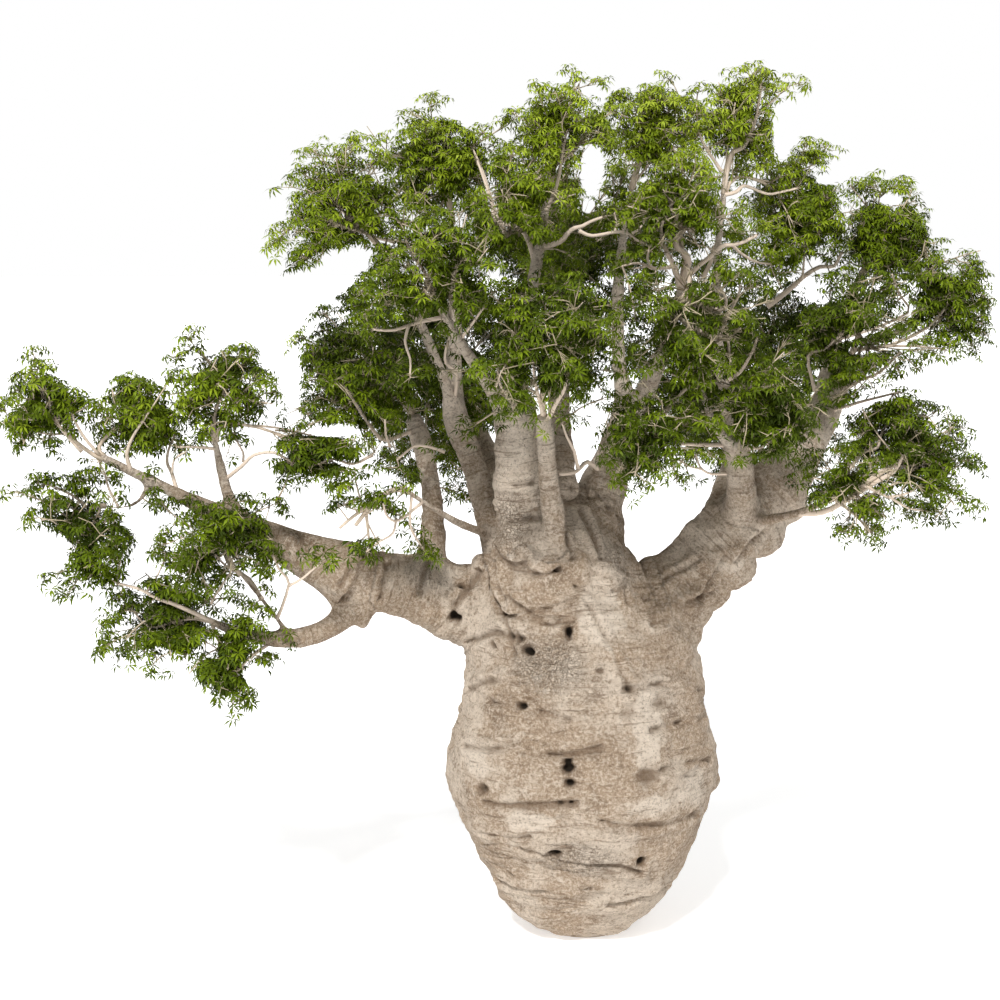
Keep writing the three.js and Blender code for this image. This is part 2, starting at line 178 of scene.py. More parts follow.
@dataclass(frozen=True)
class Tuft:
    """A spray beyond the even ones of its mass, in the frame's pixels and how far back in metres."""

    across: int
    down: int
    back: float
    size: int


@dataclass(frozen=True)
class Opening:
    """A way through the leaves: where it shows in the frame, and its half sizes, in pixels."""

    across: int
    down: int
    wide: int
    tall: int


LIMBS = tuple(LimbPlan(*row) for row in (
    ("left_arm", "trunk", (169, 0.78, 3.6), (186, 2.76, 4.28), 0.045, -0.05, 0.45, 0.3),
    ("left_upper_arm", "left_arm", 1, (187, 5.49, 5.68), 0, 0.05, 0.3, 0.055, 1.8),
    ("left_lower_arm", "left_arm", 0.84, (194, 4.28, 3.87), -0.4, 0.12, 0.17, 0.06),
    ("left_riser", "left_upper_arm", 0.45, (188, 4.23, 5.88), -0.02, 0.03, 0.095, 0.05),
    ("left_outer_branch", "left_upper_arm", 0.8, (188, 5.48, 5.15), -0.16, -0.02, 0.045, 0.032),
    ("left_low_riser", "left_lower_arm", 0.59, (194, 4.02, 4.43), 0.02, 0.02, 0.042, 0.034),
    ("left_back_stem", "left_arm", 0.55, (164, 2.12, 6.03), -0.02, -0.16, 0.16, 0.115),
    ("left_stem", "trunk", (168, 0.94, 4.0), (162, 1.63, 6.1), 0, -0.06, 0.175, 0.14),
    ("left_crown_limb", "left_stem", 1, (159, 1.67, 8.3), -0.15, -0.04, 0.12, 0.05),
    ("far_left_limb", "left_stem", 0.9, (197, 2.44, 8.01), 0.17, -0.05, 0.085, 0.045),
    ("front_left_limb", "left_stem", 0.3, (206, 2.27, 5.35), -0.08, 0.1, 0.07, 0.045),
    ("centre_stem", "trunk", (200, 0.57, 3.67), (205, 0.96, 6.29), -0.02, -0.04, 0.31, 0.255),
    ("centre_crown_limb", "centre_stem", 1, (215, 0.53, 8.72), 0.02, -0.05, 0.13, 0.05),
    ("centre_left_limb", "centre_stem", 0.92, (217, 2.16, 7.51), -0.02, -0.02, 0.1, 0.055),
    ("front_stem", "trunk", (236, 0.61, 4.02), (246, 1.31, 6.19), 0.02, -0.01, 0.145, 0.1),
    ("centre_right_stem", "trunk", (34, 0.1, 3.78), (43, 0.89, 6.14), 0.175, 0.14, 0.3, 0.245),
    ("hub_limb", "centre_right_stem", 1, (339, 1.11, 7.68), 0.04, 0.09, 0.12, 0.06),
    ("top_limb", "centre_right_stem", 0.9, (58, 1.06, 8.72), -0.19, 0.15, 0.12, 0.05),
    ("right_arm", "trunk", (23, 0.52, 3.1), (8, 2.21, 5.11), 0.14, -0.15, 0.52, 0.32),
    ("right_upper_arm", "right_arm", 1, (16, 3.3, 6.66), -0.05, -0.02, 0.32, 0.115),
    ("right_back_limb", "right_upper_arm", 0.59, (19, 3.63, 7.82), -0.1, 0.23, 0.11, 0.055),
    ("right_riser", "right_arm", 0.78, (343, 1.71, 5.85), -0.12, 0.07, 0.17, 0.15),
    ("right_crown_limb", "right_riser", 1, (0, 1.53, 8.62), -0.03, 0.14, 0.1, 0.05),
    ("right_front_limb", "right_riser", 0.9, (305, 1.95, 6.54), -0.11, -0.02, 0.08, 0.05),
    ("right_low_limb", "right_arm", 0.84, (341, 3.13, 5.4), -0.12, -0.26, 0.08, 0.05),
    ("back_left_stem", "trunk", (135, 0.7, 3.9), (127, 2.5, 6.2), -0.2, -0.15, 0.28, 0.12),
    ("back_stem", "trunk", (100, 0.55, 3.9), (96, 1.91, 7.2), -0.15, 0.12, 0.26, 0.09),
    ("back_right_limb", "right_arm", 0.6, (42, 2.83, 5.9), -0.12, 0.06, 0.22, 0.11),
))
LEFT_WOOD = ("left_arm", "left_upper_arm", "left_lower_arm", "left_riser", "left_outer_branch",
             "left_low_riser", "left_back_stem")
RIGHT_WOOD = ("right_arm", "right_upper_arm", "right_back_limb", "right_riser", "right_crown_limb",
              "right_front_limb", "right_low_limb", "back_right_limb")

MASSES = tuple(MassPlan(*row) for row in (
    ("left_tip_foliage", "left_upper_arm", (187, 6.09, 6.23), 0.56, 0.54, Region.FAR_LEFT),
    ("left_crest_foliage", "left_upper_arm", (184, 5.06, 6.13), 0.56, 0.52, Region.FAR_LEFT),
    ("left_outer_foliage", "left_outer_branch", (190, 5.72, 4.88), 0.66, 0.64, Region.FAR_LEFT),
    ("left_top_foliage", "left_riser", (188, 4.08, 6.46), 0.64, 0.62, Region.FAR_LEFT),
    ("left_link_foliage", "left_riser", (193, 3.1, 5.76), 0.6, 0.4, Region.LOW_LEFT),
    ("left_inner_foliage", "left_low_riser", (197, 4.2, 4.88), 0.7, 0.5, Region.LOW_LEFT),
    ("left_low_foliage", "left_lower_arm", (191, 4.79, 3.92), 0.7, 0.54, Region.LOW_LEFT),
    ("left_bottom_foliage", "left_lower_arm", (197, 4.13, 3.48), 0.48, 0.47, Region.LOW_LEFT),
    ("left_middle_foliage", "left_back_stem", (176, 2.69, 6.49), 0.85, 0.85, Region.LEFT),
    ("front_left_foliage", "front_left_limb", (209, 2.92, 5.02), 0.54, 0.66, Region.LOW_LEFT),
    ("far_left_foliage", "far_left_limb", (201, 2.85, 8.32), 0.69, 0.7, Region.LEFT),
    ("left_shoulder_foliage", "centre_left_limb", (228, 2.56, 7.7), 0.74, 0.68, Region.LEFT),
    ("left_crown_foliage", "left_crown_limb", (163, 1.76, 8.93), 0.74, 0.7, Region.LEFT),
    ("centre_crown_foliage", "centre_crown_limb", (232, 0.48, 9.24), 0.62, 0.62, Region.CENTRE),
    ("centre_front_foliage", "centre_crown_limb", (232, 1.4, 8.37), 0.68, 0.64, Region.CENTRE),
    ("front_foliage", "front_stem", (256, 2.17, 6.99), 0.85, 0.68, Region.FRONT),
    ("top_foliage", "top_limb", (45, 1.14, 9.38), 0.64, 0.6, Region.CENTRE),
    ("hub_foliage", "hub_limb", (311, 1.34, 8.38), 0.68, 0.66, Region.CENTRE),
    ("hub_low_foliage", "hub_limb", (297, 2.13, 7.19), 0.79, 0.66, Region.FRONT),
    ("right_front_foliage", "right_front_limb", (285, 2.07, 6.0), 0.66, 0.54, Region.FRONT),
    ("riser_foliage", "right_front_limb", (316, 2.46, 6.29), 0.7, 0.62, Region.FRONT),
    ("right_crown_foliage", "right_crown_limb", (3, 1.77, 9.37), 0.56, 0.65, Region.RIGHT),
    ("right_shoulder_foliage", "right_crown_limb", (19, 2.69, 8.43), 0.7, 0.64, Region.RIGHT),
    ("right_back_foliage", "right_back_limb", (17, 3.78, 8.11), 0.73, 0.6, Region.FAR_RIGHT),
    ("right_outer_foliage", "right_back_limb", (5, 4.16, 7.36), 0.56, 0.74, Region.FAR_RIGHT),
    ("right_middle_foliage", "right_upper_arm", (352, 2.98, 7.03), 0.8, 0.7, Region.RIGHT),
    ("right_low_foliage", "right_low_limb", (349, 3.65, 5.74), 0.67, 0.78, Region.FAR_RIGHT),
    ("right_under_foliage", "right_low_limb", (331, 3.1, 5.4), 0.52, 0.54, Region.FAR_RIGHT),
    ("back_left_foliage", "back_left_stem", (132, 2.75, 6.5), 1.25, 1.35, Region.BACK, 6, 44),
    ("back_foliage", "back_stem", (94, 2.15, 8.05), 1.25, 1.2, Region.BACK, 6, 44),
    ("back_right_foliage", "back_right_limb", (47, 2.95, 6.45), 1.35, 1.4, Region.BACK, 6, 44),
))

PITS = tuple(Pit(*row) for row in (
    ((-1.06, -0.64, 3.55), (0.05, 0.04), 0.06), ((-0.69, -0.97, 3.55), (0.06, 0.05), 0.11),
    ((-0.24, -1.03, 3.75), (0.04, 0.09), 0.16), ((-1.52, -0.36, 3.78), (0.06, 0.06), 0.12),
    ((-1.44, -0.28, 4.16), (0.05, 0.05), 0.07), ((-0.77, -1.16, 2.96), (0.06, 0.04), 0.08),
    ((-0.26, -1.49, 2.37), (0.055, 0.07), 0.13), ((-0.24, -1.52, 2.18), (0.05, 0.04), 0.1),
    ((-0.34, -1.5, 1.95), (0.05, 0.03), 0.08), ((-0.22, -1.53, 1.96), (0.04, 0.03), 0.08),
    ((0.62, -1.4, 2.23), (0.13, 0.12), 0.045), ((-1.18, -1.13, 2.01), (0.08, 0.06), 0.055),
    ((-0.41, -1.38, 1.32), (0.09, 0.04), 0.11), ((0.58, -1.27, 1.19), (0.07, 0.055), 0.1),
    ((-0.89, -0.98, 0.96), (0.04, 0.03), 0.05), ((-1.25, -0.71, 3.02), (0.04, 0.03), 0.04),
    ((0.1, -1.24, 3.38), (0.035, 0.03), 0.04), ((0.74, -1.09, 2.98), (0.1, 0.07), 0.022),
    ((0.42, -1.31, 2.92), (0.08, 0.07), 0.022), ((-1.45, -0.6, 2.44), (0.08, 0.06), 0.025),
    ((1.32, -0.29, 4.38), (0.05, 0.04), 0.045), ((0.25, -0.69, 4.08), (0.09, 0.05), 0.025),
    ((1.37, 0.5, 2.4), (0.08, 0.08), 0.1), ((0.71, 1.02, 1.4), (0.06, 0.06), 0.08),
    ((0.06, 1.36, 2.9), (0.05, 0.05), 0.09), ((-0.6, 1.47, 1.95), (0.1, 0.09), 0.09),
    ((-1.2, 0.93, 2.6), (0.05, 0.05), 0.07), ((-1.34, 0.34, 1.2), (0.07, 0.06), 0.08),
    ((0.35, 1.2, 3.4), (0.05, 0.05), 0.07), ((-1.6, 0.1, 2.3), (0.05, 0.05), 0.06),
))
KNOBS = tuple(Knob(*row) for row in (
    ((-0.68, -0.66, 4.2), 0.27), ((-0.4, -0.7, 4.17), 0.27), ((-0.9, -0.56, 4.3), 0.22),
    ((-0.52, -0.78, 4.5), 0.14), ((-0.52, -0.6, 4.7), 0.22), ((-0.8, -0.5, 4.67), 0.27),
    ((-1.06, 0.05, 4.2), 0.13), ((-0.12, -0.72, 4.36), 0.2), ((0.2, -0.72, 4.3), 0.2),
    ((1.44, 0.12, 4.92), 0.12), ((1.76, 0.1, 4.27), 0.22),
    ((1.52, 0.05, 3.97), 0.16), ((0.4, -0.3, 4.16), 0.2), ((-1.47, -0.47, 2.15), 0.12),
    ((1.4, -0.2, 2.24), 0.13), ((1.44, 0, 1.75), 0.12), ((-1.45, 0, 2.65), 0.12),
    ((1.22, 0, 3.5), 0.13), ((-3.25, -0.7, 3.62), 0.12), ((-2.55, -0.35, 3.88), 0.1),
    ((-2.56, -0.36, 3.79), 0.09), ((-2.57, -0.37, 3.72), 0.08), ((2.1, 0.3, 4.68), 0.27),
    ((2.4, 0.42, 4.98), 0.24), ((-0.22, -0.1, 5.25), 0.1), ((-1.2, -0.02, 4.36), 0.12),
))
CREASES = (
    ((-1.11, -0.91, 2.93), (-0.83, -1.12, 2.93), (-0.54, -1.26, 2.94), (-0.23, -1.37, 2.87)),
    ((-0.48, -1.41, 2.47), (-0.18, -1.47, 2.51), (0.11, -1.47, 2.56)),
    ((-1.15, -1.14, 1.87), (-0.72, -1.38, 1.88), (-0.34, -1.5, 1.93), (-0.16, -1.54, 1.97)),
    ((-0.76, -1.28, 1.38), (-0.39, -1.36, 1.26), (0, -1.39, 1.21), (0.33, -1.36, 1.17), (0.57, -1.21, 1.07)),
    ((-0.85, -0.44, 4.03), (-0.82, -0.67, 3.8), (-0.83, -0.91, 3.48)),
    ((-0.77, -0.66, 3.86), (-0.44, -0.91, 3.82), (-0.17, -0.96, 3.86)),
    ((0.77, -1.3, 2.27), (1.14, -0.92, 2.25), (1.39, -0.51, 2.17)),
    ((-1.44, -0.38, 1.39), (-1.11, -1.08, 1.48), (-0.67, -1.35, 1.53)),
    ((0.1, -1.53, 1.77), (0.66, -1.38, 1.65), (1.22, -0.78, 1.62)),
    ((-1, -0.7, 0.78), (-0.55, -1.1, 0.81), (0.01, -1.24, 0.89)),
    ((0.24, -1.09, 0.63), (0.59, -1.01, 0.68), (0.89, -0.74, 0.74)),
    ((-1.4, -0.77, 2.4), (-1.11, -1.1, 2.44), (-0.78, -1.28, 2.55)),
    ((0.65, -1.26, 2.71), (1.02, -0.9, 2.7), (1.4, -0.22, 2.6)),
    ((0.37, -1.25, 3.16), (0.78, -0.98, 3.16), (1.28, -0.38, 2.94)),
    ((-0.95, -0.85, 4.09), (-0.67, -0.95, 3.93), (-0.34, -1.0, 3.9), (0.0, -0.95, 4.0)),
    ((-1.12, -0.62, 4.5), (-1.05, -0.8, 4.1), (-0.86, -1.0, 3.67)),
    ((-0.16, -0.85, 4.26), (0.09, -1.0, 3.84), (0.41, -1.2, 3.15)),
    ((-1.11, -0.6, 4.6), (-0.83, -0.78, 4.45), (-0.62, -0.85, 4.4), (-0.35, -0.85, 4.42)),
    ((-0.33, -0.6, 5.18), (-0.24, -0.75, 4.69), (-0.06, -0.9, 4.21)),
    ((0.02, -0.4, 5.38), (0.1, -0.6, 4.84), (0.25, -0.85, 4.2)),
    ((0.34, -0.2, 5.12), (0.38, -0.5, 4.6), (0.48, -0.8, 4.08)),
    ((-1.37, -0.43, 2.96), (-1.11, -0.8, 3.16), (-0.78, -1.07, 3.18)),
    ((0.59, -0.49, 4.02), (0.93, -0.24, 4.23), (1.29, -0.26, 4.44)),
    ((0.71, -0.67, 3.77), (1.18, -0.32, 3.99), (1.47, -0.24, 4.09)),
    ((1.29, -0.3, 3.98), (1.43, -0.27, 4.27), (1.54, -0.25, 4.49)),
    ((1.7, -0.21, 4.43), (1.85, -0.15, 4.65), (2, -0.09, 4.76)),
    ((-1.91, -0.43, 4.1), (-1.87, -0.33, 4.28), (-1.83, -0.1, 4.39)),
    ((-1.51, -0.39, 3.94), (-1.37, -0.29, 4.1), (-1.23, -0.06, 4.23)),
    ((-2.36, -0.48, 4.04), (-2.32, -0.49, 4.25), (-2.3, -0.41, 4.4)),
    ((-1.04, 0, 4.83), (-0.83, -0.53, 4.87), (-0.61, -0.53, 4.92)),
    ((-1.06, -0.33, 5.37), (-0.83, -0.58, 5.34), (-0.63, -0.53, 5.37)),
    ((-0.94, -0.5, 4.38), (-0.66, -0.64, 4.32), (-0.41, -0.78, 4.4)),
    ((-0.86, -0.62, 3.89), (-0.49, -0.8, 3.96), (-0.16, -0.8, 4.05)),
    ((-2.8, -0.64, 4.22), (-2.69, -0.63, 4.39), (-2.57, -0.39, 4.51)),
    ((-1.35, -0.24, 3.5), (-1, -0.6, 3.67), (-0.72, -0.88, 3.64)),
    ((1.1, 0.9, 2.5), (0.6, 1.35, 2.4), (0, 1.5, 2.5)), ((-0.5, 1.45, 1.5), (-1.1, 1, 1.4), (-1.4, 0.5, 1.5)),
    ((-1.3, 0.7, 3), (-0.8, 1.1, 2.95), (-0.2, 1.3, 3.1)), ((1.1, 0.6, 1.3), (0.6, 1.1, 1.2), (0, 1.3, 1.3)),
)
ROUGH_PATCHES = tuple(Patch(*row) for row in (
    ((-0.45, -1.05, 3.4), (0.5, 0.6, 0.38)), ((-0.1, -1.3, 1.3), (0.5, 0.5, 0.26)),
    ((-0.9, -0.6, 4.9), (0.3, 0.4, 0.45)), ((0.35, -0.6, 4.5), (0.3, 0.4, 0.4)),
    ((0.9, 1, 2.2), (0.5, 0.6, 0.4)), ((-1.9, -0.1, 4.2), (0.35, 0.4, 0.3)),
))
PALE_PATCHES = tuple(Patch(*row) for row in (
    ((0.62, -1.25, 2.75), (0.2, 0.5, 0.75)), ((0.1, -0.95, 3.9), (0.3, 0.4, 0.5)),
    ((-1.25, -0.9, 2.3), (0.2, 0.5, 0.22)), ((-1.7, -0.3, 4.35), (0.3, 0.4, 0.3)),
    ((0.6, -1.2, 1.9), (0.45, 0.5, 0.18)), ((-0.65, -1.35, 1.72), (0.35, 0.4, 0.16)),
    ((1.15, -0.8, 1.95), (0.3, 0.5, 0.3)), ((-0.45, 1.3, 2.3), (0.5, 0.5, 0.35)),
    ((-0.8, -0.65, 5.9), (0.25, 0.4, 0.5)), ((1.6, 0, 4.4), (0.35, 0.4, 0.2)),
))
BRANCH_ROWS = (
    (1.6, 0.9, -0.71, -0.75, 82, 452, 62, 430, 47, 402, 42, 390),
    (1.2, 0.8, -0.58, -0.5, 66, 434, 48, 434, 32, 431),
    (1.9, 0.9, -0.67, -0.95, 100, 456, 82, 434, 72, 415),
    (2.4, 1, -0.64, -0.9, 131, 471, 127, 454, 133, 437, 147, 415),
    (2.2, 1, -0.59, -0.35, 178, 494, 172, 474, 167, 462, 169, 449, 174, 436),
    (1.3, 0.8, -0.7, -0.8, 172, 474, 174, 460, 186, 452),
    (1.1, 0.7, -0.61, -0.7, 166, 488, 158, 481, 146, 478),
    (2.2, 1.2, -0.58, -0.9, 224, 480, 241, 467, 254, 455, 274, 453, 292, 462),
    (1.4, 0.8, -0.55, -0.5, 243, 462, 243, 452, 236, 440),
    (1.8, 0.9, -0.59, -0.75, 217, 449, 197, 447, 176, 447),
    (2, 1, -0.59, -0.5, 214, 438, 216, 407, 228, 388),
    (1.6, 0.9, -0.88, -1, 86, 507, 75, 497, 60, 489, 44, 484),
    (1.4, 0.8, -0.7, -0.8, 119, 508, 109, 489, 104, 472, 98, 460),
    (1.4, 0.8, -0.76, -1.1, 102, 505, 93, 522, 81, 535),
    (2.6, 1.1, -1.04, -1.2, 215, 623, 179, 606, 159, 599, 139, 589, 117, 583),
    (1.6, 0.9, -1.01, -0.9, 225, 627, 196, 619, 174, 622, 149, 627, 131, 607),
    (2, 1.1, -0.84, -1.1, 275, 640, 249, 658, 236, 674),
    (1.5, 0.9, -1.02, -1, 211, 604, 216, 594, 230, 573),
    (2.4, 1.3, -0.9, -0.7, 262, 600, 249, 579, 231, 567, 222, 549),
    (1.7, 1, -0.84, -1.2, 277, 619, 289, 584, 279, 569, 273, 555),
    (1.5, 0.9, -1.14, -1.4, 289, 586, 303, 578, 321, 562),
    (1.5, 0.9, -0.97, -1, 239, 573, 226, 566, 212, 551),
    (1.6, 0.9, -0.83, -1.5, 423, 502, 399, 520, 388, 517, 383, 503),
    (1.5, 0.9, -0.93, -0.7, 412, 494, 410, 524, 416, 538, 424, 550),
    (1.3, 0.8, -1.22, -1.5, 396, 518, 393, 533, 379, 542, 366, 552),
    (1.7, 1, 0.09, -0.3, 444, 452, 433, 448, 415, 446, 397, 460),
    (2.4, 1.2, 0.55, -0.4, 417, 429, 385, 440, 372, 428, 361, 412, 350, 395, 343, 382),
    (1.6, 0.9, -0.03, -0.6, 390, 446, 386, 435, 385, 420),
    (1.7, 0.9, -0.19, -0.9, 372, 455, 353, 464, 334, 459, 318, 464),
    (2.1, 1.1, 0.5, -0.2, 453, 410, 457, 375, 446, 363, 446, 350, 450, 336),
    (2.2, 1.1, -1.13, -1.7, 446, 317, 418, 322, 394, 330, 372, 329),
    (1.6, 0.8, -1.55, -1.9, 409, 325, 405, 341, 410, 359, 410, 378),
    (2, 1, -1.3, -1.9, 432, 292, 424, 270, 414, 258, 405, 238),
    (1.7, 0.9, -0.97, -1.3, 460, 340, 475, 320, 484, 307),
    (1.5, 0.9, -1.08, -1, 450, 325, 451, 290, 456, 268),
    (3, 1.3, -0.38, -0.3, 538, 249, 560, 242, 571, 230, 583, 226, 594, 220, 607, 216),
    (2, 1, -0.48, -0.6, 579, 231, 592, 236, 610, 233, 625, 232, 638, 241, 647, 243),
    (1.4, 0.8, -0.28, -0.2, 615, 232, 616, 222, 614, 212),
    (1.4, 0.8, -0.12, 0.1, 633, 233, 639, 229, 647, 218),
    (2.8, 1.2, -0.39, 0.1, 535, 264, 524, 232, 496, 220, 491, 200, 477, 160),
    (2.2, 1, -0.09, 0.2, 505, 232, 496, 215, 485, 178, 472, 146),
    (2.3, 1, -0.35, -0.5, 545, 213, 557, 185, 563, 150, 567, 130),
    (1.2, 0.7, -0.2, -0.1, 562, 163, 581, 143, 589, 137, 597, 128),
    (1.8, 1, -0.32, 0, 395, 242, 370, 235, 346, 215, 337, 205),
    (1.5, 0.9, -0.96, -1.2, 365, 233, 345, 227, 328, 221),
    (1.2, 0.8, -0.81, -0.9, 352, 220, 345, 212, 331, 196),
    (3, 1.4, -0.26, -1.2, 680, 289, 675, 268, 665, 249, 661, 232, 663, 221),
    (1.8, 0.9, -0.9, -1.4, 670, 267, 653, 268, 648, 259, 649, 250),
    (1.5, 0.8, -0.95, -1.5, 652, 268, 638, 263, 622, 266),
    (4, 2.2, -0.31, -0.9, 681, 284, 688, 263, 684, 253, 677, 247, 677, 238, 685, 229),
    (2.3, 1.2, -0.7, -1, 692, 230, 681, 225, 675, 218, 669, 200),
    (2.6, 1.6, -0.3, -0.5, 681, 285, 694, 270, 711, 256, 722, 246, 733, 245, 744, 242, 757, 235),
    (1.8, 1, -0.05, 0.3, 733, 245, 742, 254, 757, 262, 771, 264),
    (2.4, 1.2, -0.1, 0.2, 703, 277, 711, 262, 713, 249, 722, 236),
    (1.9, 1, -0.19, -1.5, 679, 297, 719, 310, 726, 300, 719, 285, 716, 272),
    (2, 1, -0.03, -1.8, 674, 315, 713, 337, 726, 338, 741, 328),
    (1.5, 0.9, -0.94, -1.9, 728, 337, 729, 352, 731, 362),
    (1.8, 0.9, -0.74, -1.5, 719, 336, 730, 312, 738, 297, 740, 283),
    (1.5, 0.9, 0.9, 0.9, 633, 185, 633, 186, 642, 173, 650, 163),
    (3, 1.2, 0, 0.1, 724, 190, 730, 156, 742, 148, 749, 137, 755, 121, 759, 100, 761, 86),
    (2, 1, 0, 0, 722, 172, 713, 159, 705, 146, 698, 130),
    (2.2, 1, -0.01, 0.4, 724, 195, 736, 192, 743, 186, 752, 188, 767, 194, 781, 192, 798, 188),
    (1.2, 0.7, 0, 0.3, 724, 190, 734, 180, 737, 170),
    (3.4, 1.6, 1.1, 1, 767, 306, 780, 297, 793, 286, 807, 274, 820, 267, 834, 266, 842, 252),
    (1.5, 0.9, 1.02, 0.8, 802, 278, 803, 268, 805, 254),
    (2.2, 1.1, 0.77, -0.1, 834, 394, 861, 380, 880, 372, 900, 352),
    (2, 1, 0.68, -0.3, 823, 414, 850, 405, 875, 398, 900, 392),
    (1.8, 0.9, 1.16, 0.5, 836, 340, 870, 330, 908, 312, 899, 294, 892, 274),
    (2.2, 1.1, 0.67, 0.2, 852, 350, 890, 345, 923, 330, 939, 316, 948, 304),
    (1.5, 0.8, 0.64, 0.1, 880, 346, 905, 346, 926, 347, 946, 350),
    (1.8, 0.9, 0.03, -0.7, 815, 390, 808, 356, 825, 349, 841, 333),
    (3, 1.5, -0.48, -0.9, 736, 447, 723, 445, 702, 445, 682, 444),
    (1.6, 1, -0.39, -0.5, 740, 474, 723, 474, 711, 474, 700, 467, 696, 453),
    (1.2, 0.8, -0.51, -0.6, 702, 469, 689, 466, 680, 460),
    (2.2, 1.2, -0.48, -0.8, 736, 447, 748, 448, 760, 448, 769, 442),
    (1.8, 1, -0.46, -0.9, 730, 420, 723, 410, 702, 412),
    (2, 1, -0.38, -1.1, 724, 382, 740, 372, 752, 352, 757, 338),
    (3.4, 1.6, -0.7, -1.1, 799, 513, 823, 512, 848, 499, 874, 483, 894, 471, 903, 455),
    (1.7, 0.9, -1.02, -0.6, 862, 485, 886, 468, 905, 466, 926, 465),
    (1.6, 0.9, -0.92, -1.2, 834, 499, 854, 514, 863, 524, 870, 532),
    (1.6, 0.9, -1.02, -0.6, 862, 485, 892, 499, 908, 508, 922, 510),
    (1.4, 0.8, -0.96, -0.9, 889, 497, 905, 494, 915, 488),
    (2, 1.1, -0.7, -0.4, 848, 470, 863, 453, 877, 448, 881, 434, 888, 424),
    (2.6, 1.2, -1.16, -1.6, 544, 425, 556, 404, 565, 388, 567, 372),
    (2.2, 1.1, -1.18, -1.7, 544, 419, 536, 386, 533, 362),
    (1.6, 0.9, -1.2, -1.2, 543, 415, 538, 396, 524, 386),
    (2.6, 1.6, 0.39, -0.5, 605, 477, 588, 462, 576, 472, 560, 474),
    (1.9, 1, -0.26, -0.9, 578, 468, 574, 451, 567, 437, 562, 423),
    (1.6, 0.9, -0.4, -1.1, 512, 404, 500, 384, 498, 368),
)
TUFT_ROWS = (
    (484, 132, 0.2, 16), (508, 122, -0.1, 14), (612, 112, 0.2, 12), (698, 92, 0.2, 10), (763, 76, 0.1, 12),
    (690, 158, -0.1, 13), (734, 178, 0.1, 11), (634, 168, 0.2, 12), (350, 152, -0.7, 12),
    (300, 172, -1, 11), (300, 262, -1.1, 13), (318, 246, -1.2, 10), (370, 292, -0.6, 15),
    (322, 312, 0.2, 12), (492, 292, -1.2, 15), (735, 232, 0.2, 22), (752, 268, 0.3, 26),
    (782, 288, 0.4, 24), (808, 270, 0.6, 22), (832, 262, 0.7, 18), (712, 262, 0.3, 16),
    (735, 300, -0.3, 16), (636, 322, -1.6, 12), (640, 360, -1.5, 12), (855, 424, -0.2, 20),
    (878, 396, -0.3, 22), (905, 380, -0.2, 18), (868, 446, -0.3, 16), (900, 352, 0.2, 12),
    (920, 372, -0.1, 13), (590, 385, -0.9, 14), (575, 400, -1.3, 11), (604, 398, -0.8, 9),
    (376, 452, -0.2, 20), (398, 470, -0.1, 18), (412, 528, -0.6, 11), (456, 470, 1, 14),
    (466, 500, 1.2, 16), (452, 490, 1.1, 12), (440, 452, 0.1, 13), (90, 405, -0.8, 13),
    (170, 378, -0.6, 16), (186, 410, -0.6, 18), (205, 436, -0.5, 13), (155, 432, -0.8, 14),
    (100, 462, -0.8, 12), (112, 478, -0.8, 10), (40, 482, -1, 12), (62, 490, -1, 12), (84, 480, -0.9, 10),
    (158, 505, -0.5, 13), (166, 552, -1, 15), (125, 545, -1.1, 13), (102, 575, -1.1, 12),
    (118, 600, -1.1, 14), (106, 622, -1.1, 10), (152, 588, -1.1, 13), (200, 572, -1.1, 14),
    (232, 598, -1.1, 17), (256, 606, -1.2, 14), (240, 622, -1.2, 11), (266, 590, -1, 11),
    (280, 560, -1.2, 10), (176, 640, -1.1, 14), (138, 640, -1.1, 12), (225, 690, -1.3, 10),
    (275, 505, -0.9, 10), (185, 500, -0.9, 9), (208, 515, -1.1, 10), (876, 530, -1, 13),
    (940, 512, -0.6, 12), (955, 458, -0.5, 11), (928, 352, 0.1, 12), (974, 262, 0.2, 12),
    (850, 186, 1.2, 11), (896, 290, 0.5, 11), (850, 400, -0.3, 14), (820, 372, -0.5, 14),
    (690, 478, -0.9, 14), (660, 488, -1.2, 11), (712, 455, -0.9, 12), (770, 448, -0.8, 14),
    (800, 470, -0.6, 14), (790, 430, -0.5, 15), (300, 338, 0.2, 11), (468, 430, -0.5, 13),
    (500, 392, -1.3, 14), (520, 402, -1.4, 10), (648, 250, -1.3, 14), (622, 268, -1, 16),
    (575, 260, -0.6, 16), (560, 288, -0.6, 16), (600, 320, -0.5, 16), (585, 345, -0.9, 14),
    (448, 372, -0.6, 16), (398, 300, -1, 14),
)
OPENING_ROWS = (
    (592, 168, 12, 26), (588, 205, 8, 8), (345, 258, 24, 12), (292, 385, 8, 42), (216, 342, 14, 5),
    (45, 550, 24, 22), (255, 675, 12, 12), (782, 130, 10, 30), (830, 178, 14, 6), (890, 198, 12, 6),
    (596, 395, 6, 5), (668, 530, 34, 46), (700, 500, 20, 14), (345, 525, 44, 14), (815, 260, 7, 5),
    (822, 372, 8, 5), (330, 430, 30, 6), (265, 345, 6, 22), (520, 90, 8, 14),
)


def place(bearing: float, reach: float, height: float) -> Vector:
    """The point at a bearing, a distance from the trunk's axis and a height."""
    angle = math.radians(bearing)
    return Vector((reach * math.cos(angle), reach * math.sin(angle), height))


def lerp(a: float, b: float, t: float) -> float:
    """The value a share t of the way from a to b."""
    return a + (b - a) * t


def smoothstep(value: float, low: float, high: float) -> float:
    """A smooth step from 0 below low to 1 above high."""
    t = min(1.0, max(0.0, (value - low) / (high - low)))
    return t * t * (3 - 2 * t)


def drift(at: Vector) -> Vector:
    """A smooth offset of up to about 1 each way at a place, the same in each run."""
    shifts = ((9.3, -1.5, -7.9), (0, 0, 0), (-6.3, 8.1, 2.9))
    return Vector([noise.noise(at + Vector(shift)) for shift in shifts])


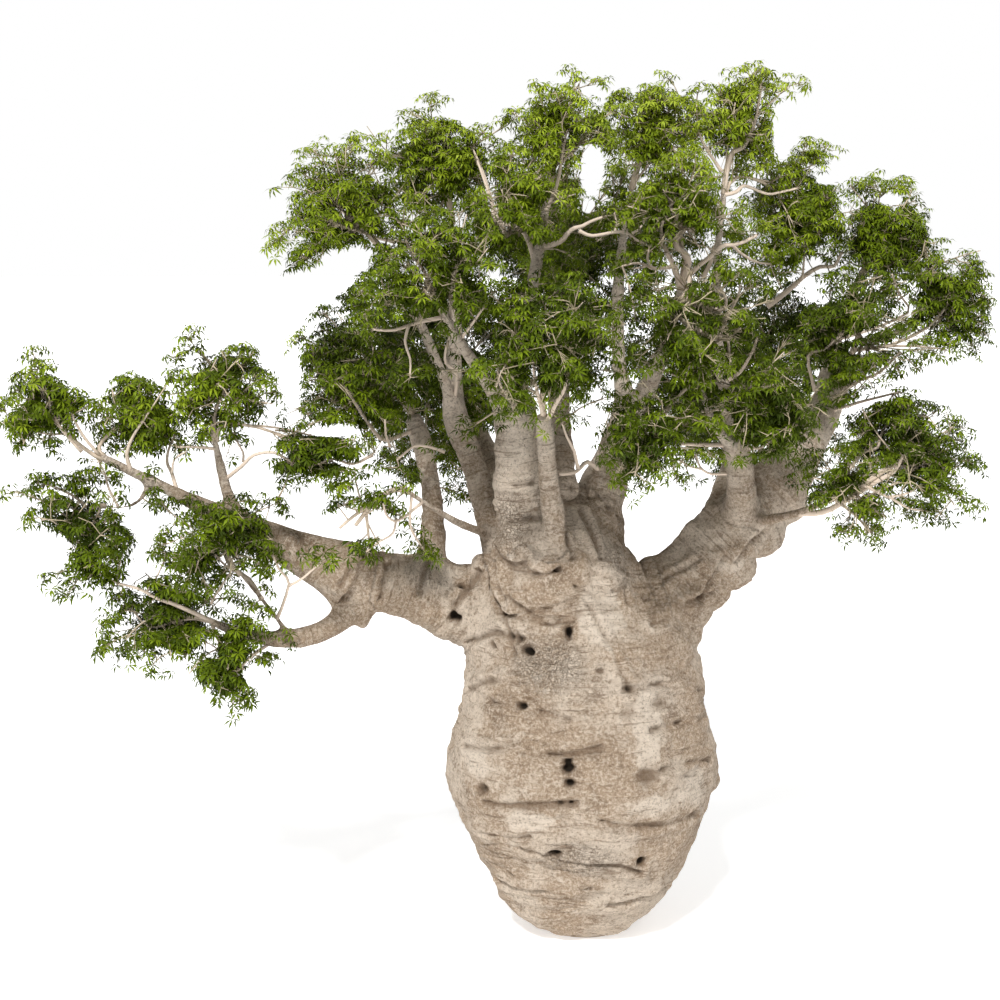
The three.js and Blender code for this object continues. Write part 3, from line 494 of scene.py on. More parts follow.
class Seeded:
    """Repeatable numbers from 0 to 1, the same as those that the solids are grown with."""

    factor = 1664525
    addend = 1013904223
    size = 1 << 32

    def __init__(self, seed: int) -> None:
        """Start the row of numbers at a seed."""
        self.state = seed % self.size

    def draw(self) -> float:
        """The next number."""
        self.state = (self.state * self.factor + self.addend) % self.size
        return self.state / self.size

    def spread(self, count: int, stray: float = 0.5) -> list[Vector]:
        """Directions spread evenly over a ball, shifted a little.

        Args:
            count: How many directions there are.
            stray: How far each one may shift.

        Returns:
            Unit vectors.
        """
        turn = self.draw() * 2 * math.pi
        directions = []
        for i in range(count):
            z = 1 - 2 * (i + 0.5) / count + (self.draw() - 0.5) * stray / count
            angle = turn + GOLDEN_ANGLE * i + (self.draw() - 0.5) * stray
            flat = math.sqrt(max(0.0, 1 - z * z))
            directions.append(Vector((flat * math.cos(angle), flat * math.sin(angle), z)))
        return directions


@dataclass(frozen=True)
class Bend:
    """A curve from start to end that is drawn towards a control point."""

    start: Vector
    control: Vector
    end: Vector

    @classmethod
    def bowed(cls, start: Vector, tip: Vector, arch: float, sway: float) -> "Bend":
        """A curve whose middle lies off the straight line.

        Args:
            start: Its first point.
            tip: Its last point.
            arch: How far its middle is lifted in the upright plane.
            sway: How far its middle is moved to the left of its direction.

        Returns:
            The curve.
        """
        chord = (tip - start).normalized()
        left = Vector((-chord.y, chord.x, 0)).normalized()
        up = chord.cross(left)
        return cls(start, (start + tip) / 2 + up * 2 * arch + left * 2 * sway, tip)

    def point(self, t: float) -> Vector:
        """The point at a fraction of the curve."""
        return self.start * (1 - t) ** 2 + self.control * (2 * t * (1 - t)) + self.end * t * t

    def tangent(self, t: float) -> Vector:
        """The direction at a fraction of the curve."""
        return ((self.control - self.start) * (1 - t) + (self.end - self.control) * t).normalized()

    def length(self) -> float:
        """The length along the curve."""
        points = [self.point(i / 24) for i in range(25)]
        return sum((b - a).length for a, b in zip(points, points[1:]))

    def square(self) -> Vector:
        """Find which way is square to the plane in which the curve bends.

        Returns:
            A unit vector.
        """
        across = (self.control - self.start).cross(self.end - self.control)
        if across.length < 1e-6:
            across = Vector((self.control.y - self.start.y, self.start.x - self.control.x, 1e-6))
        return across.normalized()


@dataclass
class Limb:
    """A bough with its place and thickness worked out."""

    plan: LimbPlan
    bend: Bend
    length: float

    def radius(self, t: float) -> float:
        """Work out the radius, which swells at the foot.

        Args:
            t: The fraction of the length.

        Returns:
            The radius there.
        """
        plan = self.plan
        swell = 1 + 0.3 * math.exp(-t * self.length / (1.5 * plan.thick))
        return lerp(plan.thick, plan.thin, 1 - (1 - t) ** plan.taper) * swell

    def part(self) -> WoodPart:
        """The piece of bark that covers this limb."""
        right = WoodPart.RIGHT if self.plan.name in RIGHT_WOOD else WoodPart.CENTRE
        return WoodPart.LEFT if self.plan.name in LEFT_WOOD else right


def lay_limbs() -> dict[str, Limb]:
    """Lay every limb on its bearer.

    Returns:
        The limbs by name, each after its bearer.
    """
    laid: dict[str, Limb] = {}
    for plan in LIMBS:
        start = place(*plan.start) if plan.bearer == "trunk" else laid[plan.bearer].bend.point(plan.start)
        bend = Bend.bowed(start, place(*plan.tip), plan.arch, plan.sway)
        laid[plan.name] = Limb(plan, bend, bend.length())
    return laid


def mesh_from_arrays(name: str, points: np.ndarray, faces: np.ndarray) -> bpy.types.Mesh:
    """Make one mesh of many small things.

    Args:
        name: The mesh's name.
        points: Points, one a row.
        faces: Triangles, one a row, as rows of points.

    Returns:
        The mesh.
    """
    mesh = bpy.data.meshes.new(name)
    mesh.vertices.add(len(points))
    mesh.vertices.foreach_set("co", points.astype(np.float32).ravel())
    mesh.loops.add(faces.size)
    mesh.loops.foreach_set("vertex_index", faces.astype(np.int32).ravel())
    mesh.polygons.add(len(faces))
    mesh.polygons.foreach_set("loop_start", np.arange(0, faces.size, 3, dtype=np.int32))
    mesh.update(calc_edges=True)
    return mesh


def link(name: str, mesh: bpy.types.Mesh, nodes: list[str]) -> None:
    """Put a piece into the scene in place of CAD nodes.

    Args:
        name: The piece's name.
        mesh: Its mesh, in place.
        nodes: The CAD nodes that it stands for.
    """
    piece = bpy.data.objects.new(name, mesh)
    bpy.context.scene.collection.objects.link(piece)
    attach(piece, "root")
    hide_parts(*nodes)
    LOG.info("%s: %d triangles", name, sum(len(p.vertices) - 2 for p in mesh.polygons))


class NodeBoard:
    """A material's nodes, laid and joined with short calls."""

    def __init__(self, material: bpy.types.Material) -> None:
        """Start on a material's own nodes.

        Args:
            material: The material.
        """
        material.use_nodes = True
        self.nodes = material.node_tree.nodes
        self.links = material.node_tree.links

    def lay(self, kind: str, vector: Socket | None = None,
            **settings: float | tuple[float, ...]) -> bpy.types.Node:
        """Lay a node.

        Args:
            kind: The node's type.
            vector: The socket that goes into its vector input, if any.
            settings: The values of inputs, by name.

        Returns:
            The node.
        """
        node = self.nodes.new(kind)
        if vector is not None:
            self.links.new(vector, node.inputs["Vector"])
        for name, value in settings.items():
            node.inputs[name].default_value = value
        return node

    def attribute(self, name: str, output: str) -> Socket:
        """Read one of the piece's attributes.

        Args:
            name: The attribute.
            output: Which of the reader's outputs is wanted.

        Returns:
            The socket with it.
        """
        reader = self.lay("ShaderNodeAttribute")
        reader.attribute_name = name
        return reader.outputs[output]

    def noise(self, vector: Socket, scale: float, detail: float, roughness: float) -> Socket:
        """A noise pattern from 0 to 1, with its scale, its detail and how strong the detail is."""
        settings = {"Scale": scale, "Detail": detail, "Roughness": roughness}
        return self.lay("ShaderNodeTexNoise", vector, **settings).outputs["Fac"]

    def stretched(self, vector: Socket, scale: tuple[float, float, float]) -> Socket:
        """A place scaled along each axis."""
        return self.lay("ShaderNodeMapping", vector, Scale=scale).outputs["Vector"]

    def wander(self, vector: Socket, scale: float, reach: tuple[float, float, float]) -> Socket:
        """Make a place wander, so that a pattern of cells isn't straight.

        Args:
            vector: The place.
            scale: The scale of the noise that moves it.
            reach: How far it moves along each axis.

        Returns:
            The socket with the place moved.
        """
        drifting = self.lay("ShaderNodeTexNoise", vector, Scale=scale, Detail=3.0)
        moved = self.lay("ShaderNodeVectorMath")
        moved.operation = "MULTIPLY_ADD"
        moved.inputs[1].default_value = reach
        self.links.new(drifting.outputs["Color"], moved.inputs[0])
        self.links.new(vector, moved.inputs[2])
        return moved.outputs["Vector"]

    def maths(self, operation: str, first: Socket, second: Socket | float) -> Socket:
        """Work out a sum.

        Args:
            operation: The kind of sum.
            first: The socket with the first value.
            second: The second value, or the socket with it.

        Returns:
            The socket with the result.
        """
        sums = self.lay("ShaderNodeMath")
        sums.operation = operation
        self.links.new(first, sums.inputs[0])
        if isinstance(second, float):
            sums.inputs[1].default_value = second
        else:
            self.links.new(second, sums.inputs[1])
        return sums.outputs["Value"]

    def steps(self, value: Socket, low: float, high: float) -> Socket:
        """Make a smooth step of a value.

        Args:
            value: The socket with the value.
            low: Where the step is at 0.
            high: Where it is at 1.

        Returns:
            The socket with the step.
        """
        step = self.lay("ShaderNodeMapRange", **{"From Min": low, "From Max": high})
        step.interpolation_type = "SMOOTHSTEP"
        self.links.new(value, step.inputs["Value"])
        return step.outputs["Result"]

    def blend(self, share: Socket, under: Socket | Colour, over: Colour, most: float) -> Socket:
        """Lay one colour over another.

        Args:
            share: How much of the upper colour shows, from 0 to 1.
            under: The lower colour, or the socket with it.
            over: The upper colour.
            most: The most of the upper colour that shows.

        Returns:
            The socket with the colour.
        """
        mix = self.lay("ShaderNodeMix")
        mix.data_type = "RGBA"
        self.links.new(self.maths("MULTIPLY", share, most), mix.inputs["Factor"])
        if isinstance(under, tuple):
            mix.inputs["A"].default_value = (*under, 1)
        else:
            self.links.new(under, mix.inputs["A"])
        mix.inputs["B"].default_value = (*over, 1)
        return mix.outputs["Result"]


@dataclass(frozen=True)
class BarkFinish:
    """Grey-brown bark with whitish patches, fine cracks across it and rough patches; shade is painted into its
    pits, creases and cracks, and light onto its limbs higher up.

    Each pattern has a scale, a detail and a strength of the detail. Each stretch and drift has a
    value for each axis; the stretched patterns run along the limb.
    """

    pale: Colour = (0.80, 0.685, 0.56)
    middle: Colour = (0.465, 0.345, 0.24)
    # deep serves for real stains and dark grain, and in the recesses as painted shade.
    deep: Colour = (0.20, 0.13, 0.077)
    # The near-black painted shade at the bottom of the pits and deepest creases.
    crack: Colour = (0.19, 0.125, 0.075)
    hollow: Colour = (0.035, 0.024, 0.014)
    roughness: float = 0.92
    specular: float = 0.25
    patches: tuple[float, float, float] = (1.1, 6.0, 0.66)
    stains: tuple[float, float, float] = (2.7, 7.0, 0.72)
    wear: tuple[float, float, float] = (6.5, 6.0, 0.7)
    grain: tuple[float, float, float] = (30.0, 5.0, 0.85)
    flecks: tuple[float, float, float] = (1.3, 7.0, 0.72)
    fleck_stretch: tuple[float, float, float] = (5.0, 5.0, 17.0)
    rings: tuple[float, float, float] = (1.5, 5.0, 0.6)
    ring_stretch: tuple[float, float, float] = (1.6, 1.6, 17.0)
    cell_scale: float = 27.0
    cell_drift: tuple[float, float, float] = (0.2, 0.2, 0.12)
    cell_drift_scale: float = 9.0
    bump: float = 0.05

    def material(self) -> bpy.types.Material:
        """The bark as a material.

        Returns:
            A material that reads the piece's bark_run, bark_marks and bark_recess_shade attributes, and paints
            shade by the last.
        """
        material = bpy.data.materials.new("baobab_bark")
        board = NodeBoard(material)
        shader = board.nodes["Principled BSDF"]
        shader.inputs["Roughness"].default_value = self.roughness
        shader.inputs["Specular IOR Level"].default_value = self.specular
        here = board.lay("ShaderNodeTexCoord").outputs["Object"]
        run = board.attribute("bark_run", "Vector")
        # The painted shade in the bark's recesses, from the piece's attribute.
        recess_shade = board.attribute("bark_recess_shade", "Fac")
        # light holds the bark's pale patches and the painted light higher up the limbs.
        rough, light, even = board.lay("ShaderNodeSeparateXYZ", board.attribute("bark_marks", "Vector")).outputs
        patches, stains, wear, grain = (
            board.noise(here, *pattern) for pattern in (self.patches, self.stains, self.wear, self.grain))
        flakes = board.maths("ADD", board.maths("MULTIPLY", light, 0.26), wear)
        flecks = board.noise(board.stretched(run, self.fleck_stretch), *self.flecks)
        rings = board.noise(board.stretched(run, self.ring_stretch), *self.rings)
        cracks = board.maths("MULTIPLY", board.steps(rings, 0.57, 0.68), even)
        drifted = board.wander(here, self.cell_drift_scale, self.cell_drift)
        cells = board.lay("ShaderNodeTexVoronoi", drifted, Scale=self.cell_scale)
        cells.feature = "DISTANCE_TO_EDGE"
        scales = board.maths("MULTIPLY", board.steps(cells.outputs["Distance"], 0.13, 0.0), rough)
        base = board.blend(board.steps(patches, 0.44, 0.60), self.middle, self.pale, 0.7)
        for share, colour, most in (
            (board.steps(stains, 0.50, 0.70), self.deep, 0.75),
            (board.steps(flakes, 0.56, 0.70), self.pale, 0.9),
            (light, self.pale, 0.45),
            (board.maths("MULTIPLY", rough, 0.4), self.pale, 0.7),
            (board.steps(grain, 0.50, 0.60), self.pale, 0.7),
            (board.steps(grain, 0.49, 0.36), self.deep, 0.75),
            (board.steps(flecks, 0.44, 0.34), self.crack, 0.4),
            (board.steps(flecks, 0.55, 0.66), self.pale, 0.6),
            (cracks, self.deep, 0.6),
            (scales, self.deep, 0.5),
            # Painted shade: the pits, creases and cracks darken, to near black where they are deepest.
            (board.steps(recess_shade, 0.04, 0.5), self.deep, 0.75),
            (board.steps(recess_shade, 0.40, 0.75), self.hollow, 1.0),
        ):
            base = board.blend(share, base, colour, most)
        board.links.new(base, shader.inputs["Base Color"])
        height = board.maths("ADD", grain, board.maths("MULTIPLY", rings, even))
        height = board.maths("SUBTRACT", height, scales)
        height = board.maths("ADD", height, board.maths("ADD", wear, flecks))
        bump = board.lay("ShaderNodeBump", Strength=1.0, Distance=self.bump)
        board.links.new(height, bump.inputs["Height"])
        board.links.new(bump.outputs["Normal"], shader.inputs["Normal"])
        return material


@dataclass(frozen=True)
class PlainFinish:
    """A plain colour, such as one tone of leaves or twigs, dealt out by spray."""

    name: str
    colour: Colour
    roughness: float
    glow: float = 0.0
    specular: float = 0.12

    def material(self) -> bpy.types.Material:
        """The finish as a material.

        Returns:
            A material of one plain colour.
        """
        material = bpy.data.materials.new(self.name)
        material.use_nodes = True
        shader = material.node_tree.nodes["Principled BSDF"]
        shader.inputs["Base Color"].default_value = (*self.colour, 1)
        shader.inputs["Roughness"].default_value = self.roughness
        shader.inputs["Specular IOR Level"].default_value = self.specular
        if self.glow:
            shader.inputs["Emission Color"].default_value = (*self.colour, 1)
            shader.inputs["Emission Strength"].default_value = self.glow
        return material


# Lit and shaded copies of one leaf green, from painted shade to painted sunlight.
LEAF_TONES = (
    PlainFinish("leaf_shade", (0.030, 0.047, 0.002), 0.6),
    PlainFinish("leaf_half_shade", (0.052, 0.078, 0.002), 0.58),
    PlainFinish("leaf_green", (0.084, 0.122, 0.003), 0.56),
    PlainFinish("leaf_lit", (0.130, 0.181, 0.005), 0.54),
    PlainFinish("leaf_bright", (0.192, 0.252, 0.011), 0.52),
    PlainFinish("leaf_sunlit", (0.280, 0.350, 0.028), 0.5),
)
TWIG_TONES = (
    PlainFinish("twig_pale", (0.66, 0.545, 0.44), 0.85),
    PlainFinish("twig_grey", (0.56, 0.46, 0.355), 0.85),
    PlainFinish("twig_young", (0.44, 0.37, 0.25), 0.8),
)


@dataclass
class Wood:
    """The trunk and boughs under one skin of bark with its relief."""

    limbs: dict[str, Limb]
    voxel: float = 0.025
    smoothing: int = 6
    fillet: float = 0.13
    fillet_share: float = 0.42
    fillet_least: float = 0.015
    swell: float = 0.9
    swell_most: float = 0.2
    below_ground: float = 0.2
    profile: tuple[tuple[float, float], ...] = (
        (0, 0.47), (0.2, 0.81), (0.65, 1.14), (1.4, 1.48), (2.1, 1.57),
        (2.7, 1.44), (3.2, 1.31), (3.6, 1.15), (3.95, 0.9), (4.25, 0.56),
    )
    neck: tuple[tuple[tuple[float, float, float], float], ...] = (
        ((-0.08, 0, 3.3), 1.16), ((-0.1, -0.02, 3.6), 1.1), ((-0.14, -0.04, 3.9), 0.98),
        ((-0.18, -0.06, 4.2), 0.83), ((-0.22, -0.08, 4.5), 0.66), ((-0.25, -0.06, 4.8), 0.49),
        ((-0.27, -0.03, 5.05), 0.3),
    )
    lean: float = 0.06
    lean_from: float = 0.3
    lean_to: float = 1.8
    foot_share: float = 0.7
    trunk_rings: int = 48
    trunk_sides: int = 48
    neck_sides: int = 32
    limb_sides: int = 16
    ring_count: int = 6
    ring_gap: float = 0.09
    ring_share: float = 0.35
    crooked_scale: float = 1.4
    crooked_most: float = 0.05
    crooked_share: float = 0.35
    uneven: float = 0.09
    uneven_scale: float = 2.6
    survey_step: float = 0.1
    survey_room: float = 0.5
    far: float = 9.0
    seam: float = 0.12
    folds: int = 5
    fold_depth: float = 0.018
    fold_turn: float = 1.5
    fold_fade: float = 0.6
    full_thick: float = 0.3
    least_strength: float = 0.12
    lump_scale: float = 1.35
    lump_height: float = 0.058
    warp_scale: float = 1.1
    trunk_sag: tuple[float, float] = (0.08, 0.16)
    limb_sag: float = 0.05
    wrinkle_across: float = 1.1
    wrinkle_along: float = 6.5
    wrinkle_height: float = 0.027
    fine_scale: float = 2.6
    fine_height: float = 0.013
    crack_sharp: float = 8
    crack_depth: float = 0.026
    # Painted shade in the cracks.
    crack_shade: float = 0.22
    pit_uneven: float = 0.5
    funnel_width: float = 2.2
    funnel_share: float = 0.22
    # Painted shade round each pit.
    funnel_shade: float = 0.12
    lip_at: float = 1.75
    lip_width: float = 0.4
    lip_height: float = 0.012
    # The pit depth at which its painted shade is full.
    shade_depth: float = 0.12
    crease_stray: float = 0.05
    groove_width: float = 0.028
    groove_depth: float = 0.042
    # Painted shade in the creases' grooves.
    groove_shade: float = 0.36
    swelling_at: float = 0.08
    swelling_width: float = 0.05
    swelling_height: float = 0.030
    scale_scale: float = 16
    scale_height: float = 0.011
    ground_fade: float = 0.05
    # Painted light: the limbs grow paler above this height, lifting the shade under the crown.
    painted_light_from: float = 4.9
    painted_light_span: float = 2.0
    painted_light_most: float = 0.9
    finish: BarkFinish = field(default_factory=BarkFinish)

    def trunk_at(self, share: float) -> tuple[float, float]:
        """Find a place on the trunk's profile, as a smooth spline has it.

        Args:
            share: The share of the profile that lies below the place.

        Returns:
            The height and the radius.
        """
        steps = len(self.profile) - 1
        spot = min(share * steps, steps - 1e-9)
        i = int(spot)
        t = spot - i
        p0, p1, p2, p3 = (Vector(self.profile[min(max(i + k, 0), steps)]) for k in (-1, 0, 1, 2))
        v0, v1 = (p2 - p0) / 2, (p3 - p1) / 2
        point = (p1 * 2 - p2 * 2 + v0 + v1) * t**3 + (p2 * 3 - p1 * 3 - v0 * 2 - v1) * t**2 + v0 * t + p1
        return point.x, point.y

    def trunk_middle(self, height: float) -> Vector:
        """The middle of the trunk at a height."""
        return Vector((-self.lean * smoothstep(height, self.lean_from, self.lean_to), 0, height))

    def sweep(self, body: bmesh.types.BMesh, stations: list[tuple[Matrix, float]], sides: int) -> None:
        """Sweep a circle through stations into a closed, tapering tube.

        Args:
            body: The mesh that the tube is added to.
            stations: Frames with their radii, along the tube.
            sides: The sides round it.
        """
        tube = bmesh.new()
        matrix, radius = stations[0]
        bmesh.ops.create_circle(tube, cap_ends=True, segments=sides, radius=1.0)
        bmesh.ops.transform(tube, matrix=matrix @ Matrix.Scale(radius, 4), verts=tube.verts)
        tube.faces.ensure_lookup_table()
        cap = tube.faces[0]
        for last, now in zip(stations, stations[1:]):
            made = bmesh.ops.extrude_face_region(tube, geom=[cap], use_keep_orig=last is stations[0])
            cap = next(e for e in made["geom"] if isinstance(e, bmesh.types.BMFace))
            before = last[0] @ Matrix.Scale(last[1], 4)
            after = now[0] @ Matrix.Scale(now[1], 4)
            bmesh.ops.transform(tube, matrix=after @ before.inverted(), verts=cap.verts)
        bmesh.ops.recalc_face_normals(tube, faces=tube.faces)
        mesh = bpy.data.meshes.new("tube")
        tube.to_mesh(mesh)
        tube.free()
        body.from_mesh(mesh)
        bpy.data.meshes.remove(mesh)

    def add_trunk(self, body: bmesh.types.BMesh) -> None:
        """Add the trunk, from below the ground cut to the dome under the fork.

        Args:
            body: The mesh that it is added to.
        """
        stations = [(Matrix.Translation((0, 0, -self.below_ground)), self.profile[0][1] * self.foot_share)]
        for i in range(self.trunk_rings + 1):
            height, radius = self.trunk_at(i / self.trunk_rings)
            stations.append((Matrix.Translation(self.trunk_middle(height)), radius))
        self.sweep(body, stations, self.trunk_sides)

    def add_neck(self, body: bmesh.types.BMesh) -> None:
        """Add the neck in which the middle stems grow together above the trunk's shoulders."""
        self.sweep(body, [(Matrix.Translation(at), radius) for at, radius in self.neck], self.neck_sides)

    def add_limb(self, body: bmesh.types.BMesh, limb: Limb) -> None:
        """Add a limb that is a little crooked and uneven along its length.

        Args:
            body: The mesh that it is added to.
            limb: The limb.
        """
        gap = max(self.ring_gap, self.ring_share * limb.plan.thick)
        count = max(self.ring_count, round(limb.length / gap))
        across = limb.bend.square()
        seed = Vector((len(limb.plan.name) * 3.7, limb.plan.tip[0], limb.plan.tip[1]))
        stations = []
        for i in range(count + 1):
            t = i / count
            along = limb.bend.tangent(t)
            side = along.cross(across)
            radius = limb.radius(t)
            crooked = drift(seed + Vector((t * limb.length * self.crooked_scale, 0, 0)))
            crooked *= math.sin(math.pi * t) * min(self.crooked_most, self.crooked_share * radius)
            thickened = noise.noise(seed + Vector((0, t * limb.length * self.uneven_scale, 0)))
            turned = Matrix((side, across, along)).transposed().to_4x4()
            at = Matrix.Translation(limb.bend.point(t) + crooked)
            stations.append((at @ turned, radius * (1 + self.uneven * thickened)))
        self.sweep(body, stations, self.limb_sides)

    def add_knobs(self, body: bmesh.types.BMesh) -> None:
        """Add the swellings that stand out of the trunk and boughs.

        Args:
            body: The mesh that they are added to.
        """
        for knob in KNOBS:
            at = Matrix.Translation(knob.at)
            bmesh.ops.create_icosphere(body, subdivisions=3, radius=knob.radius, matrix=at)

    @staticmethod
    def smooth(mesh: bpy.types.Mesh, rounds: int) -> None:
        """Smooth a mesh.

        Args:
            mesh: The mesh.
            rounds: How many times it is smoothed.
        """
        body = bmesh.new()
        body.from_mesh(mesh)
        for _ in range(rounds):
            bmesh.ops.smooth_vert(body, verts=body.verts, factor=0.5, use_axis_x=True, use_axis_y=True,
                                  use_axis_z=True)
        body.to_mesh(mesh)
        body.free()

    @staticmethod
    def arrays(mesh: bpy.types.Mesh) -> tuple[np.ndarray, np.ndarray]:
        """Read a mesh.

        Args:
            mesh: The mesh.

        Returns:
            Its points and its normals, one a row.
        """
        points, normals = np.empty((2, len(mesh.vertices) * 3))
        mesh.vertices.foreach_get("co", points)
        mesh.vertices.foreach_get("normal", normals)
        return points.reshape(-1, 3), normals.reshape(-1, 3)

    def skin(self) -> bpy.types.Mesh:
        """Fuse the trunk and limbs into one skin of even faces, rounded where they meet.

        Returns:
            The skin, cut flat at the ground.
        """
        body = bmesh.new()
        self.add_trunk(body)
        self.add_neck(body)
        for limb in self.limbs.values():
            self.add_limb(body, limb)
        self.add_knobs(body)
        mesh = bpy.data.meshes.new("raw_wood")
        body.to_mesh(mesh)
        body.free()
        raw = bpy.data.objects.new("raw_wood", mesh)
        bpy.context.scene.collection.objects.link(raw)
        remesh = raw.modifiers.new("fuse", "REMESH")
        remesh.mode = "VOXEL"
        remesh.voxel_size = self.voxel
        graph = bpy.context.evaluated_depsgraph_get()
        fused = bpy.data.meshes.new_from_object(raw.evaluated_get(graph))
        bpy.data.objects.remove(raw)
        self.smooth(fused, self.smoothing)
        for _ in range(2):
            points, normals = self.arrays(fused)
            off, thick, _ = self.survey(points)
            fused.vertices.foreach_set("co", (points + normals * self.fillets(off, thick)[:, None] / 2).ravel())
            self.smooth(fused, self.smoothing)
        body = bmesh.new()
        body.from_mesh(fused)
        everything = [*body.verts, *body.edges, *body.faces]
        cut = bmesh.ops.bisect_plane(body, geom=everything, plane_co=(0, 0, 0), plane_no=(0, 0, 1),
                                     clear_inner=True)
        rim = [e for e in cut["geom_cut"] if isinstance(e, bmesh.types.BMEdge)]
        bmesh.ops.holes_fill(body, edges=rim, sides=0)
        bmesh.ops.recalc_face_normals(body, faces=body.faces)
        body.to_mesh(fused)
        body.free()
        return fused

    def survey(self, points: np.ndarray) -> tuple[np.ndarray, np.ndarray, np.ndarray]:
        """Measure each point of the skin against the trunk and every limb.

        Args:
            points: The skin's points.

        Returns:
            The distance off the trunk, then off each limb, a row each; the radius there; and the
            place in the frame of the nearest one, whose third value runs along it.
        """
        heights, radii = np.array([self.trunk_at(i / 96) for i in range(97)]).T
        at_height = np.interp(points[:, 2], heights, radii)
        middle_x = np.interp(points[:, 2], heights, [self.trunk_middle(h).x for h in heights])
        flat = np.hypot(points[:, 0] - middle_x, points[:, 1]) - at_height
        above = np.maximum(points[:, 2] - heights[-1], 0)
        off = np.full((len(self.limbs) + 1, len(points)), self.far)
        off[0] = np.hypot(np.maximum(flat, 0), above) + np.minimum(flat, 0) * (above == 0)
        for (low, thick_low), (high, thick_high) in zip(self.neck, self.neck[1:]):
            for t in np.linspace(0, 1, 4):
                middle = np.array(low) * (1 - t) + np.array(high) * t
                distance = np.linalg.norm(points - middle, axis=1) - thick_low * (1 - t) - thick_high * t
                off[0] = np.minimum(off[0], distance)
        thick = np.ones_like(off)
        run = points.copy()
        best = off[0].copy()
        for number, limb in enumerate(self.limbs.values(), 1):
            across = limb.bend.square()
            count = max(8, round(limb.length / self.survey_step))
            line = np.array([limb.bend.point(i / count) for i in range(count + 1)])
            room = limb.radius(0) + self.survey_room
            near = np.all((points > line.min(axis=0) - room) & (points < line.max(axis=0) + room), axis=1)
            index = np.nonzero(near)[0]
            own = points[index]
            for i in range(count + 1):
                t = i / count
                radius = limb.radius(t)
                along = limb.bend.tangent(t)
                offset = own - line[i]
                distance = np.linalg.norm(offset, axis=1) - radius
                closer = distance < off[number, index]
                chosen = index[closer]
                off[number, chosen] = distance[closer]
                thick[number, chosen] = radius
                nearest = closer & (distance < best[index])
                chosen = index[nearest]
                best[chosen] = distance[nearest]
                local = offset[nearest]
                run[chosen] = np.stack([local @ np.array(along.cross(across)), local @ np.array(across),
                                        local @ np.array(along) + t * limb.length], axis=1)
        return off, thick, run

    def fillets(self, off: np.ndarray, thick: np.ndarray) -> np.ndarray:
        """Work out how far the skin swells where limbs meet each other and the trunk.

        Args:
            off: The distance of each point off the trunk and each limb.
            thick: The radius of each there.

        Returns:
            The swelling at each point.
        """
        owner = off.argmin(axis=0)
        everyone = np.arange(off.shape[1])
        own_thick = thick[owner, everyone]
        swelling = np.zeros(off.shape[1])
        names = ["trunk", *self.limbs]
        carried_on = {(names.index(limb.plan.bearer), number) for number, limb in
                      enumerate(self.limbs.values(), 1) if limb.plan.start == 1}
        for number in range(len(names)):
            width = self.fillet_share * np.minimum(thick[number], own_thick)
            width = np.clip(width, self.fillet_least, self.fillet)
            share = width * np.exp(-np.maximum(off[number], 0) / width)
            share[owner == number] = 0
            for bearer, carried in carried_on:
                if number == bearer:
                    share[owner == carried] = 0
                if number == carried:
                    share[owner == bearer] = 0
            swelling += share
        return np.minimum(swelling * self.swell, self.swell_most)

    def relief(self, points: np.ndarray, off: np.ndarray, run: np.ndarray) -> tuple[np.ndarray, ...]:
        """Work out how far the bark stands out or lies in at each point, and where shade is painted.

        Args:
            points: The skin's points.
            off: The distance of each point off the trunk and each limb.
            run: Each point's place along its limb.

        Returns:
            The height of the relief in metres, the painted shade in each recess from 0 to 1, and three
            shares: rough bark, pale bark with painted light higher up the limbs, and how far the point is from
                where limbs meet.
        """
        owner = off.argmin(axis=0)
        two = np.sort(off, axis=0)[:2]
        even = np.clip((two[1] - two[0]) / self.seam, 0, 1)
        thin = [limb.plan.thin for limb in self.limbs.values()]
        strength = np.clip(np.array([1.0, *thin])[owner] / self.full_thick, self.least_strength, 1.0)
        lumps = np.array([noise.fractal(Vector(p) * self.lump_scale, 0.75, 2.1, 4) for p in points])
        warp = np.array([noise.noise(Vector(p) * self.warp_scale + Vector((7, 3, 1))) for p in points])
        height = strength * self.lump_height * lumps
        turn = np.arctan2(points[:, 1], points[:, 0])
        round_trunk = self.trunk_sag[0] * np.cos(turn * 2) + self.trunk_sag[1] * warp
        sag = np.where(owner == 0, round_trunk, self.limb_sag * warp)
        ring = np.stack([run[:, 0] * self.wrinkle_across, run[:, 1] * self.wrinkle_across,
                         (run[:, 2] + sag) * self.wrinkle_along], axis=1)
        wrinkle = np.array([noise.noise(Vector(p)) for p in ring])
        fine = np.array([noise.noise(Vector(p) * self.fine_scale) for p in ring])
        patchy = np.clip(0.6 + 1.1 * warp, 0.1, 1) * even
        height += strength * (self.wrinkle_height * wrinkle + self.fine_height * fine) * patchy
        crack = np.clip(1 - np.abs(wrinkle) * self.crack_sharp, 0, 1) ** 2 * patchy
        height -= strength * self.crack_depth * crack
        folds = np.where(owner == 0, np.sin(self.folds * turn + points[:, 2] / self.fold_turn), 0)
        height += self.fold_depth * 1.2 * folds * np.clip(points[:, 2] / self.fold_fade, 0, 1)
        # Painted shade in the cracks, and below in the pits and creases.
        recess_shade = self.crack_shade * crack * strength
        self.sink_pits(points, fine, height, recess_shade)
        self.cut_creases(points, warp, height, recess_shade)
        rough = self.patches(points, ROUGH_PATCHES)
        scaly = np.array([noise.noise(Vector(p) * self.scale_scale) if r > 0.02 else 0.0
                          for p, r in zip(points, rough)])
        height += self.scale_height * scaly * rough
        # The limbs grow paler higher up, painted light against the crown's shade; the pale patches are the
        # bark's own colour.
        upper = np.clip((points[:, 2] - self.painted_light_from) / self.painted_light_span, 0, self.painted_light_most)
        light = np.maximum(np.where(owner > 0, upper, 0), self.patches(points, PALE_PATCHES))
        marks = np.stack([rough, light, even], axis=1)
        ground = np.clip(points[:, 2] / self.ground_fade, 0, 1)
        return height * ground, np.clip(recess_shade, 0, 1), marks

